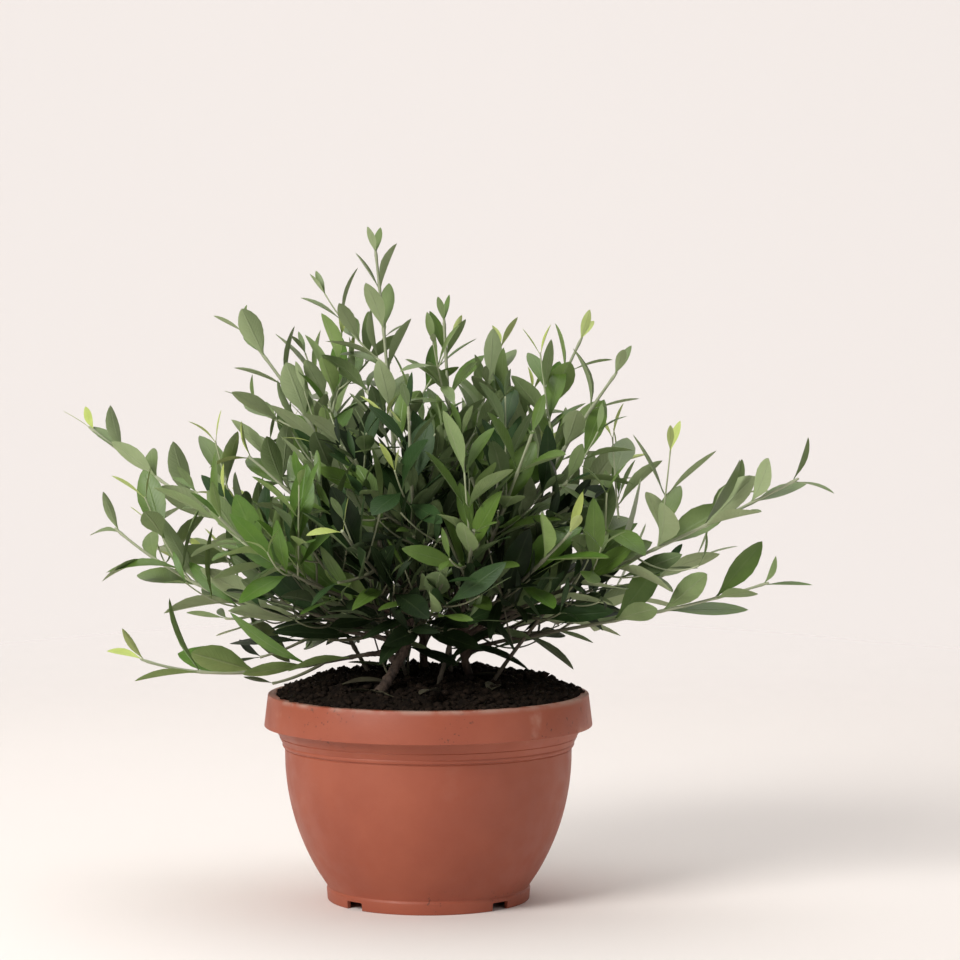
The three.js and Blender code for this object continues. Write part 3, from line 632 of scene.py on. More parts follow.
@dataclass
class BowlPot:
    """The bowl pot, 21 cm across: foot ring, bowl, necked collar and a down-turned rim. Millimetres."""

    height: float = 132
    rim_radius: float = 105
    rim_top_radius: float = 102.5
    rim_foot: float = 111.5
    skirt_wall: float = 2
    neck_top_radius: float = 98.4
    neck_foot_radius: float = 92.8
    neck_foot: float = 96.5
    body_radius: float = 91.7
    body_top: float = 94
    body_arc: float = 147.5
    wall: float = 2
    lip_draft: float = 0.8
    lip_cavity_top: float = 126
    foot_radius: float = 64.7
    foot_draft: float = 0.6
    foot_step: float = 1
    foot_height: float = 8.5
    foot_wall: float = 2.4
    floor_underside: float = 5.5
    bead: tuple[Pair, ...] = (
        (0.15, 2.8), (-0.2, 3.3), (-0.1, 3.8), (1.2, 4.4), (1.65, 5.2), (1.7, 6.0), (1.45, 6.6), (1.9, 7.3),
        (3.5, 10.4), (3.3, 10.8), (3.8, 11.5),
    )
    arc_steps: int = 26
    sides: int = 160
    rounding: float = 0.9
    rounded_above: float = 24
    sharp_above: float = 35
    notch: Point = (12, 13.3, 10.4)
    notch_count: int = 4
    notch_turn: float = 45
    drain_radius: float = 4
    drain_ring_radius: float = 44
    drain_count: int = 4
    drain_sides: int = 32

    def bowl_radius(self, height: float, inset: float = 0) -> float:
        """The bowl's radius at a height, set in by a wall, on one circular arc."""
        arc = self.body_arc - inset
        return self.body_radius - self.body_arc + math.sqrt(arc * arc - (self.body_top - height) ** 2)

    def arc(self, low: float, high: float, inset: float) -> list[Pair]:
        """Points of the bowl's arc between two heights, set in by a wall."""
        heights = [lerp(low, high, i / self.arc_steps) for i in range(self.arc_steps + 1)]
        return [(self.bowl_radius(height, inset), height) for height in heights]

    def profile(self) -> list[Pair]:
        """The pot's section, as (radius, height) from the middle of its underside round to its inside."""
        foot = self.foot_radius
        floor = self.floor_underside + self.wall
        neck = self.neck_top_radius
        outside = [
            (0, self.floor_underside),
            (foot - self.foot_wall, self.floor_underside),
            (foot - self.foot_wall, 0),
            (foot, 0),
            (foot + self.foot_draft, self.foot_height - self.foot_step),
            (self.bowl_radius(self.foot_height), self.foot_height),
            *self.arc(2 * self.foot_height, self.body_top, 0),
            *((self.body_radius + out, self.body_top + up) for out, up in self.bead),
            (neck, self.rim_foot - self.lip_draft),
            (neck + self.lip_draft, self.lip_cavity_top),
            (self.rim_top_radius - self.skirt_wall, self.lip_cavity_top),
            (self.rim_radius - self.skirt_wall, self.rim_foot),
            (self.rim_radius, self.rim_foot),
            (self.rim_top_radius, self.height),
        ]
        inside = [
            (neck + self.lip_draft - self.wall, self.height),
            (neck - self.wall, self.rim_foot),
            (self.neck_foot_radius - self.wall, self.neck_foot),
            *reversed(self.arc(floor, self.body_top, self.wall)),
            (0, floor),
        ]
        return outside + inside

    @staticmethod
    def around(count: int, first: float, out: float, up: float) -> list[Matrix]:
        """Evenly turned places round the axis.

        Args:
            count: How many there are.
            first: The turn of the first, in degrees.
            out: How far off the axis they are.
            up: How high they are.

        Returns:
            Their matrices.
        """
        turns = [math.radians(first + 360 * i / count) for i in range(count)]
        return [Matrix.Rotation(turn, 4, "Z") @ Matrix.Translation((out, 0, up)) for turn in turns]

    def cutters(self) -> Mesh:
        """The blocks and pins that cut the foot's notches and the drain holes."""
        shape = bmesh.new()
        for place in self.around(self.notch_count, self.notch_turn, self.foot_radius, 0):
            matrix = place @ Matrix.Diagonal((*self.notch, 1))
            block = bmesh.ops.create_cube(shape, size=1, matrix=matrix)["verts"]
            edges = list(dict.fromkeys(edge for vert in block for edge in vert.link_edges))
            self.rounded(shape, edges, self.rounding, segments=2)
        pin = {"radius1": self.drain_radius, "radius2": self.drain_radius, "depth": 4 * self.wall}
        middle = self.floor_underside + self.wall / 2
        for place in self.around(self.drain_count, 0, self.drain_ring_radius, middle):
            bmesh.ops.create_cone(shape, cap_ends=True, segments=self.drain_sides, matrix=place, **pin)
        bmesh.ops.scale(shape, vec=(MM, MM, MM), verts=shape.verts)
        return mesh_from(shape)

    @staticmethod
    def rounded(shape: BMesh, edges: list[BMEdge], offset: float, **settings: object) -> None:
        """Rounds edges of a shape."""
        settings |= {"affect": "EDGES", "profile": 0.5, "material": -1}
        bmesh.ops.bevel(shape, geom=edges, offset=offset, **settings)

    def turned(self) -> Mesh:
        """The pot's section turned round its axis, with its rings of corners rounded but for the bead's."""
        shape = bmesh.new()
        corners = [shape.verts.new((radius * MM, 0, height * MM)) for radius, height in self.profile()]
        edges = [shape.edges.new(pair) for pair in zip(corners, corners[1:])]
        bmesh.ops.spin(
            shape, geom=corners + edges, cent=(0, 0, 0), axis=(0, 0, 1), angle=2 * math.pi, steps=self.sides,
            use_merge=True,
        )
        bmesh.ops.remove_doubles(shape, verts=shape.verts, dist=1e-6)
        bmesh.ops.recalc_face_normals(shape, faces=shape.faces)
        low, high = self.body_top * MM, (self.body_top + self.bead[-1][1] + 1) * MM
        corner = math.radians(self.rounded_above)
        rings = [
            edge for edge in shape.edges
            if edge.calc_face_angle(0) > corner and not low < edge.verts[0].co.z < high
        ]
        self.rounded(shape, rings, self.rounding * MM, segments=3, clamp_overlap=True)
        return mesh_from(shape)

    def build(self) -> Object:
        """Builds and dresses the pot.

        Returns:
            The pot's piece.
        """
        cutter = linked("cutter", self.cutters())
        cut = ("BOOLEAN", {"operation": "DIFFERENCE", "object": cutter, "solver": "EXACT"})
        mesh = smoothed(applied(self.turned(), [cut]), self.sharp_above)
        bpy.data.objects.remove(cutter)
        return place_piece(mesh, "bowl_pot", Slot.POT, [TERRACOTTA.material()], ["pot"])


# The soil.


@dataclass
class SoilHeap:
    """The heaped potting soil, with its crumbs and a few fallen leaves. Millimetres."""

    radius: float = 96.1
    edge_height: float = 130.5
    heap: float = 9
    tilt: float = 0.045
    lump: float = 1.1
    lump_spacing: Point = (7.3, 8.9, 12.1)
    lump_phase: float = 1.1
    lump_slant: float = 1.7
    slant_share: float = 0.7
    mound: float = 2.6
    mound_middle: Pair = (4, 22)
    mound_reach: Pair = (46, 40)
    clod: float = 2.3
    clod_spacing: float = 11
    clod_fractal: tuple[float, float, int] = (0.8, 2.1, 3)
    crumb: float = 2.8
    crumb_spacing: float = 3.1
    grit_spacing: float = 1.5
    grit_share: float = 0.6
    noise_levels: Point = (3.7, 9.2, 1.3)
    sunk: float = 0.9
    calmer_edge: float = 0.55
    grid_steps: int = 150
    skirt_depth: float = 14
    skirt_taper: float = 0.97
    crumb_seed: int = 61
    crumb_count: int = 4200
    crumb_size: Pair = (0.6, 3.6)
    crumb_rarity: float = 5
    crumb_uneven: Pair = (0.45, 1.35)
    crumb_flat: float = 0.75
    crumb_lift: float = 0.15
    crumb_area: float = 0.985
    edge_crumbs: int = 900
    edge_spread: Pair = (92.5, 98.6)
    edge_lift: float = 1.2
    edge_retreat: float = 2.6
    edge_clumps: tuple[Point, ...] = ((5, 1.3, 1), (11, 0.4, 1), (23, 0, 0.8))
    clumped_above: float = 0.2
    fallen: tuple[Point, ...] = (
        (-58, -40, 20), (-20, -66, 145), (8, -58, 250), (38, -52, 80), (56, 12, 200),
    )
    fallen_length: float = 34
    fallen_rise: float = 8
    fallen_lift: float = 1.2

    def surface(self, x: float, y: float) -> float:
        """The height of the soil's even surface, as the frame's solid has it."""
        share = min(1, math.hypot(x, y) / (self.radius + GAP))
        heap = self.heap * (1 - share**6) + self.tilt * y * (1 - share**8)
        across, deep, slanting = self.lump_spacing
        lumps = math.sin(x / across + self.lump_phase) * math.cos(y / deep)
        lumps += self.slant_share * math.sin((x - self.lump_slant * y) / slanting)
        return self.edge_height + heap + self.lump * lumps * (1 - share**4)

    def rough(self, x: float, y: float) -> float:
        """The height of the surface with its clods and crumbs."""
        share = min(1, math.hypot(x, y) / self.radius)
        sizes = (self.clod_spacing, self.crumb_spacing, self.grit_spacing)
        wide, fine, finest = ((x / size, y / size, level) for size, level in zip(sizes, self.noise_levels))
        clods = noise.fractal(wide, *self.clod_fractal)
        crumbs = abs(noise.noise(fine)) + self.grit_share * abs(noise.noise(finest))
        ways = zip((x, y), self.mound_middle, self.mound_reach)
        mound = self.mound * math.exp(-sum(((at - middle) / reach) ** 2 for at, middle, reach in ways))
        bumps = (self.clod * clods + self.crumb * crumbs - self.sunk) * (1 - self.calmer_edge * share**6)
        return self.surface(x, y) + mound + bumps

    def heap_mesh(self) -> Mesh:
        """The soil's surface with a skirt down inside the pot, closed below."""
        shape = bmesh.new()
        bmesh.ops.create_grid(shape, x_segments=self.grid_steps, y_segments=self.grid_steps, size=1)
        for vert in shape.verts:
            x, y = vert.co.x, vert.co.y
            disc_x = x * math.sqrt(1 - y * y / 2) * self.radius
            disc_y = y * math.sqrt(1 - x * x / 2) * self.radius
            vert.co = (disc_x * MM, disc_y * MM, self.rough(disc_x, disc_y) * MM)
        rim = [edge for edge in shape.edges if edge.is_boundary]
        skirt = bmesh.ops.extrude_edge_only(shape, edges=rim)["geom"]
        lower = [item for item in skirt if isinstance(item, BMVert)]
        for vert in lower:
            vert.co.x *= self.skirt_taper
            vert.co.y *= self.skirt_taper
            vert.co.z = (self.edge_height - self.skirt_depth) * MM
        bmesh.ops.holes_fill(shape, edges=[edge for edge in shape.edges if edge.is_boundary], sides=0)
        bmesh.ops.recalc_face_normals(shape, faces=shape.faces)
        return smoothed(mesh_from(shape), sharp_above=50)

    def crumbs_mesh(self) -> Mesh:
        """Loose crumbs scattered over the surface, thicker towards the edge."""
        shape = bmesh.new()
        bmesh.ops.create_icosphere(shape, subdivisions=1, radius=1)
        template = np.array([vert.co for vert in shape.verts])
        faces = np.array([[vert.index for vert in face.verts] for face in shape.faces])
        shape.free()
        random = np.random.RandomState(self.crumb_seed)
        count = self.crumb_count + self.edge_crumbs
        edge = slice(self.edge_crumbs)
        reach = self.radius * np.sqrt(random.uniform(0, self.crumb_area, count))
        reach[edge] = random.uniform(*self.edge_spread, self.edge_crumbs)
        turn = random.uniform(0, 2 * math.pi, count)
        clumped = sum(strength * np.sin(turn * waves + phase) for waves, phase, strength in self.edge_clumps)
        reach[edge] -= np.where(clumped[edge] > self.clumped_above, 0, self.edge_retreat)
        size = lerp(*self.crumb_size, random.uniform(0, 1, count) ** self.crumb_rarity)
        places = [(r * math.cos(a), r * math.sin(a)) for r, a in zip(reach, turn)]
        roots = np.array([(x, y, self.rough(x, y)) for x, y in places])
        roots[edge, 2] = np.maximum(roots[edge, 2], self.edge_height + self.edge_lift)
        uneven = random.uniform(*self.crumb_uneven, (count, len(template), 3))
        points = template[None] * uneven * size[:, None, None]
        points[..., 2] *= self.crumb_flat
        points += roots[:, None] + np.array([0, 0, self.crumb_lift]) * size[:, None, None]
        return joined_copies(points, faces)

    def build(self, leaf: "LeafTemplate") -> list[Object]:
        """Builds and dresses the soil, its crumbs and the fallen leaves.

        Args:
            leaf: The shape that all leaves share.

        Returns:
            The three pieces.
        """
        fallen = leaf.joined([self.fallen_leaf(*place) for place in self.fallen])
        return [
            place_piece(self.heap_mesh(), "soil_heap", Slot.SOIL, [DAMP_SOIL.material()], ["soil"]),
            place_piece(self.crumbs_mesh(), "soil_crumbs", Slot.SOIL, [CRUMB.material()]),
            place_piece(fallen, "fallen_leaves", Slot.FOLIAGE, 2 * [FALLEN.material()]),
        ]

    def fallen_leaf(self, x: float, y: float, azimuth: float) -> "Leaf":
        """A dry leaf that lies on the soil at a place, its tip turned to an azimuth in degrees."""
        along = heading(azimuth, self.fallen_rise)
        root = Vector((x, y, self.rough(x, y) + self.fallen_lift))
        style = Style(width=0.3, fold=0.35, curl=0.08, twist=0.3)
        return Leaf(root, along, squared(UP, along), self.fallen_length, style)


def joined_copies(points: np.ndarray, faces: np.ndarray) -> Mesh:
    """Many copies of one shape, joined in one mesh.

    Args:
        points: For each copy its points, in millimetres, as (copies, points, 3).
        faces: The corners of one copy's faces, all with as many corners.

    Returns:
        The mesh, in metres.
    """
    copies, size = points.shape[:2]
    corners = faces[None] + size * np.arange(copies)[:, None, None]
    mesh = bpy.data.meshes.new("copies")
    mesh.from_pydata((points.reshape(-1, 3) * MM).tolist(), [], corners.reshape(-1, faces.shape[1]).tolist())
    mesh.shade_smooth()
    return mesh


# The plant's rule, as the frame's own source has it. Millimetres and degrees.


HUB = Vector((0, 0, 165))
NEARLY_UP = Vector((0.05, -0.08, 1))
RIM_RADIUS = 105
QUARTER_TURN = math.pi / 2
TRIES = 4
PARALLEL = 1e-12


@dataclass(frozen=True)
class Stem:
    """A stem that rises from the soil: foot, knee and top, and how thick it is."""

    foot: Pair
    knee: Point
    top: Point
    base: float
    tip: float
    flare: float


@dataclass(frozen=True)
class Leader:
    """A leader, from its stem to its tip: where it heads, how far, how it bows and what it carries.

    Finer tells how thickly finer twigs grow on it; above 1 they also grow further out.
    """

    azimuth: float
    elevation: float
    reach: float
    bow: float
    twigs: int
    lowest: float
    bare: float = 36
    finer: float = 1


STEMS = {
    "trunk": Stem((-31, -49), (-9, -21, 164), (-6, -13, 197), 4.3, 2.9, 2.6),
    "stem_right": Stem((27, 5), (20, 0, 163), (17, -3, 194), 3.6, 2.6, 1.8),
    "stem_rear": Stem((-3, 34), (-5, 28, 165), (-4, 26, 196), 3.6, 2.6, 1.8),
}
LEADERS = {
    "left_high": Leader(157.5, 28.5, 281, -14, 3, 150, finer=1.6),
    "left_mid": Leader(169, 18.5, 220, -38, 3, 150, finer=1.4),
    "left_low": Leader(191, -2.5, 184, -26, 1, 134),
    "left_front": Leader(216.5, 28.5, 178, -26, 3, 158),
    "left_inner": Leader(171, 45, 166, 6, 3, 160, finer=0.4),
    "top_left": Leader(166, 58, 234, 22, 4, 170, finer=1.4),
    "top": Leader(208, 81.5, 253, 0, 3, 180),
    "top_mid": Leader(291, 82, 208, 6, 3, 180, finer=0.35),
    "top_right": Leader(6, 63, 218, 4, 4, 170, finer=0.4),
    "top_back": Leader(56, 66, 206, 6, 3, 170, finer=0.35),
    "right_up": Leader(335, 53, 216, 6, 3, 170, finer=0.5),
    "right_mid": Leader(20, 41, 172, 0, 3, 160, finer=0.1),
    "right_high": Leader(333.5, 23.5, 274, -6, 2, 184, finer=2.7),
    "right_low": Leader(340, 11, 228, -8, 1, 172, finer=1.4),
    "right_front": Leader(312, 30, 152, -6, 2, 170, 27),
    "front_up": Leader(264, 57, 182, -4, 4, 165, 27),
    "front_low": Leader(284, 33, 144, -4, 3, 162, 27),
    "front_left": Leader(245, 33, 142, -4, 3, 162, 27),
    "front_right": Leader(303, 49, 182, -4, 3, 165, 27),
    "back_left": Leader(134, 25, 184, -8, 3, 152),
    "back_left_up": Leader(122, 49, 208, 4, 3, 160),
    "back": Leader(94, 26, 138, -6, 3, 152),
    "back_up": Leader(82, 48, 184, 0, 3, 160),
    "back_right": Leader(52, 24, 172, -8, 3, 152, finer=0.2),
    "right_back": Leader(24, 14, 202, -14, 2, 150, finer=0.6),
    "inner_right": Leader(348, 18, 112, 2, 3, 148, 0),
    "inner_left": Leader(205, 16, 112, 0, 3, 146, 0),
    "inner_front": Leader(276, 24, 112, 0, 4, 146, 0),
    "inner_back": Leader(70, 18, 112, 0, 3, 148, 0),
}


def heading(azimuth: float, elevation: float) -> Vector:
    """The unit vector at an azimuth and an elevation in degrees."""
    turn, rise = math.radians(azimuth), math.radians(elevation)
    return Vector((math.cos(turn) * math.cos(rise), math.sin(turn) * math.cos(rise), math.sin(rise)))


def squared(direction: Vector, along: Vector) -> Vector:
    """The unit vector nearest to a direction that stands square to a unit vector."""
    return (direction - along * direction.dot(along)).normalized()


def sideways(tangent: Vector, roll: float) -> Vector:
    """The direction square to a tangent at a roll round it: level at 0, then on the upper side."""
    level = tangent.cross(NEARLY_UP).normalized()
    return level * math.cos(roll) + level.cross(tangent).normalized() * math.sin(roll)


class Bezier:
    """A Bezier curve of any number of points."""

    CHORDS = 200

    def __init__(self, *points: Vector) -> None:
        """Keeps the curve's points."""
        self.points = points

    def at(self, share: float) -> Vector:
        """The place at a share of the curve."""
        points = list(self.points)
        while len(points) > 1:
            points = [start.lerp(end, share) for start, end in zip(points, points[1:])]
        return points[0]

    def direction(self, share: float) -> Vector:
        """The unit direction at a share of the curve."""
        spans = (end - start for start, end in zip(self.points, self.points[1:]))
        return Bezier(*spans).at(share).normalized()

    def length(self) -> float:
        """The curve's length, by its chords."""
        places = self.line(0, 1, self.CHORDS)
        return sum((end - start).length for start, end in zip(places, places[1:]))

    def line(self, start: float, end: float, steps: int) -> list[Vector]:
        """Evenly stepped points between two shares."""
        return [self.at(lerp(start, end, i / steps)) for i in range(steps + 1)]


@dataclass(frozen=True)
class Style:
    """What sets one leaf's shape apart: its width as a share of its length, fold, curl and twist."""

    width: float = 0.33
    fold: float = 0.2
    curl: float = 0.05
    twist: float = 0.0


@dataclass
class Leaf:
    """One leaf: where it grows, its direction, the normal of its upper face, its length, style and tint."""

    root: Vector
    along: Vector
    normal: Vector
    length: float
    style: Style = field(default_factory=Style)
    tint: Tint = Tint.GREEN

    @property
    def across(self) -> Vector:
        """The direction across the leaf."""
        return self.normal.cross(self.along)


@dataclass
class Shoot:
    """A shoot: its curve from a share on, its radii, the line that it is tested by, and its rank."""

    curve: Bezier
    start: float
    steps: int
    base: float
    tip: float
    rank: Rank
    leaves: list[Leaf] = field(default_factory=list)

    def __post_init__(self) -> None:
        """Works out the shoot's length and its straight-sided line."""
        self.length = self.curve.length() * (1 - self.start)
        self.line = np.array(self.curve.line(self.start, 1, self.steps))

    def at(self, share: float) -> Vector:
        """The place at a share of the shoot."""
        return self.curve.at(lerp(self.start, 1, share))

    def direction(self, share: float) -> Vector:
        """The direction at a share of the shoot."""
        return self.curve.direction(lerp(self.start, 1, share))

    def radius(self, share: float) -> float:
        """The radius at a share of the shoot."""
        return lerp(self.base, self.tip, share)


@dataclass(frozen=True)
class LeafRule:
    """How leaves are sized, spaced and turned."""

    length: float = 46
    width: float = 0.33
    arch: float = 0.04
    droop: float = 0.05
    face_up: float = 0.55
    spacing: float = 22.5
    foot: float = 6
    base_angle: float = 58
    tip_angle: float = 30
    angle_scatter: float = 10
    light_turn: Pair = (-0.2, 0.6)
    swell: Point = (0.84, 0.3, 0.22)
    swell_scatter: float = 0.12
    tip_at: float = 0.985
    tip_size: float = 0.62
    roll_scatter: float = 0.2
    retry_turn: float = 0.45
    retry_narrower: float = 0.16

    def size(self, share: float, scale: float, random: SeededRandom) -> float:
        """How long a leaf is at a share of its shoot: longest in the middle, small at the tip."""
        foot, middle, tip = self.swell
        swell = foot + middle * math.sin(math.pi * share) - tip * share**3
        return self.length * scale * swell * (1 + self.swell_scatter * (2 * random() - 1))

    def bend(self, share: np.ndarray) -> np.ndarray:
        """How far a leaf's middle line rises off straight, as a share of its length."""
        return self.arch * share - self.droop * share * share


LEAF_RULE = LeafRule()


@dataclass(frozen=True)
class TwigRule:
    """How side twigs leave their parent."""

    first: float = 0.02
    last: float = 0.66
    share: float = 0.3
    shortest: float = 34
    angle: float = 50
    turn: float = 2.4
    scatter: float = 0.5
    lift: float = 0.16
    base: float = 1.15
    tip: float = 0.85
    steps: int = 2
    tested_at: tuple[float, ...] = (0.3, 0.5, 0.7, 0.85, 1)


@dataclass(frozen=True)
class FinerRule:
    """How the finer twigs are carried on from every limb, beyond the frame's own solids."""

    spacing: float = 17
    first: float = 0.05
    last: float = 0.88
    main_length: Pair = (32, 58)
    twig_length: Pair = (22, 40)
    angle: float = 52
    turn: float = 2.4
    lift: float = 0.4
    base: float = 0.72
    tip: float = 0.45
    steps: int = 3
    tries: int = 7
    roll_step: float = 0.9
    clearance: float = 0.4
    leaf_scale: float = 0.88
    lowest: float = 145
    hanging: Pair = (-1.1, 0.3)
    funnel_foot: float = 42
    funnel_rise: float = 0.45
    tested_at: tuple[float, ...] = (0.4, 0.7, 1)
    thick_within: Pair = (70, 120)
    none_beyond: Pair = (165, 215)
    sparse_within: float = 30
    sparse_beyond: float = 90
    sparse_twigs: int = 3
    upright: float = 60
    rare_below: Pair = (150, 225)
    low_share: float = 0.3
    further: float = 80

    def chance(self, plan: Leader | None, root: Vector) -> float:
        """How likely a limb carries a finer twig: likely near the hub, rarer low down and never far out.

        Args:
            plan: The limb's leader; None for a stem or a sucker.
            root: Where the twig would grow.

        Returns:
            The likelihood, below 0 for never and above 1 for surely.
        """
        low, high = self.rare_below
        likely = lerp(self.low_share, 1, unit((root.z - low) / (high - low)))
        if plan is None:
            return likely
        far = (root - HUB).length
        share = unit(plan.elevation / self.upright)
        within, beyond = lerp(*self.thick_within, share), lerp(*self.none_beyond, share)
        if plan.twigs < self.sparse_twigs:
            within, beyond = self.sparse_within, self.sparse_beyond
        beyond += self.further * max(0, plan.finer - 1)
        return likely * plan.finer * (1 - (far - within) / (beyond - within))


@dataclass(frozen=True)
class Sucker:
    """A thin young stem that rises from the soil inside the bush: its foot, its knee and its top."""

    foot: Pair
    knee: Point
    top: Point


SUCKERS = (
    Sucker((6, -16), (14, -24, 170), (38, -34, 236)),
    Sucker((14, 20), (12, 30, 175), (18, 62, 240)),
    Sucker((-12, 12), (-26, 14, 170), (-58, 16, 236)),
    Sucker((38, -12), (56, -22, 165), (92, -34, 208)),
    Sucker((-36, 18), (-52, 30, 165), (-84, 58, 212)),
)


class TakenSpace:
    """The outlines of the leaves grown so far, and the test that keeps new ones clear of them."""

    CAPACITY = 9000
    PLACES = np.array([[0.12, 0], [0.48, 1.15], [0.48, -1.15], [1.04, 0], [0.5, 0]])
    FACES = np.array([[0, 1, 2], [3, 2, 1]])
    EDGES = np.array([[0, 2], [2, 3], [3, 1], [1, 0], [0, 3]])
    MIDDLE = 4
    SPACING = 3
    NEAR = 0.6

    def __init__(self) -> None:
        """Starts with no leaves."""
        self.count = 0
        self.points = np.zeros((self.CAPACITY, len(self.PLACES), 3))
        self.lengths = np.zeros(self.CAPACITY)

    def outline(self, leaf: Leaf) -> np.ndarray:
        """The corners and the middle of a leaf's outline."""
        return leaf_points(leaf, self.PLACES)

    def meets(self, outline: np.ndarray, length: float) -> bool:
        """Whether an outline cuts a leaf that is there, or lies too close to one."""
        if not self.count:
            return False
        middles = self.points[: self.count, self.MIDDLE]
        apart = np.linalg.norm(middles - outline[self.MIDDLE], axis=1)
        near = apart <= self.NEAR * (self.lengths[: self.count] + length)
        if not near.any():
            return False
        if apart[near].min() < self.SPACING:
            return True
        others = self.points[: self.count][near]
        own_edges, own_faces = outline[self.EDGES], outline[self.FACES]
        other_edges = others[:, self.EDGES].reshape(-1, 2, 3)
        other_faces = others[:, self.FACES].reshape(-1, 3, 3)
        return strikes(own_edges, other_faces) or strikes(other_edges, own_faces)

    def cut_by(self, line: np.ndarray) -> bool:
        """Whether a line of points passes through a leaf that is there."""
        if not self.count:
            return False
        edges = np.stack([line[:-1], line[1:]], axis=1)
        return strikes(edges, self.points[: self.count][:, self.FACES].reshape(-1, 3, 3))

    def take(self, outline: np.ndarray, length: float) -> None:
        """Adds a leaf's outline."""
        self.points[self.count] = outline
        self.lengths[self.count] = length
        self.count += 1


def strikes(edges: np.ndarray, faces: np.ndarray) -> bool:
    """Whether any edge passes through any triangle.

    Args:
        edges: The edges, as (edges, 2, 3).
        faces: The triangles, as (faces, 3, 3).

    Returns:
        True where one does.
    """
    start = edges[:, None, 0]
    ray = edges[:, None, 1] - start
    first = faces[None, :, 1] - faces[None, :, 0]
    second = faces[None, :, 2] - faces[None, :, 0]
    across = np.cross(ray, second)
    scale = (first * across).sum(-1)
    scale = np.where(np.abs(scale) < PARALLEL, np.inf, scale)
    offset = start - faces[None, :, 0]
    one = (offset * across).sum(-1) / scale
    turned = np.cross(offset, first)
    two = (ray * turned).sum(-1) / scale
    reach = (second * turned).sum(-1) / scale
    return bool(((one >= 0) & (two >= 0) & (one + two <= 1) & (reach > 0) & (reach < 1)).any())


def leaf_points(leaf: Leaf, places: np.ndarray) -> np.ndarray:
    """Points of a leaf as the rule tests it.

    Args:
        leaf: The leaf.
        places: Rows of a share along the leaf and a side from -1 to 1 across it.

    Returns:
        The points.
    """
    share, side = places[:, :1], places[:, 1:]
    along = np.array(leaf.along) * leaf.length * share
    across = np.array(leaf.across) * (leaf.length * LEAF_RULE.width / 2) * side
    lift = np.array(leaf.normal) * leaf.length * LEAF_RULE.bend(share)
    return np.array(leaf.root) + along + across + lift


@dataclass
class GrownLeader:
    """A leader laid out on its stem: its curve, the lines that space is measured to, and its shoots."""

    name: str
    index: int
    plan: Leader
    curve: Bezier
    length: float
    bare_share: float
    leaf_scale: float
    shoots: list[Shoot] = field(default_factory=list)


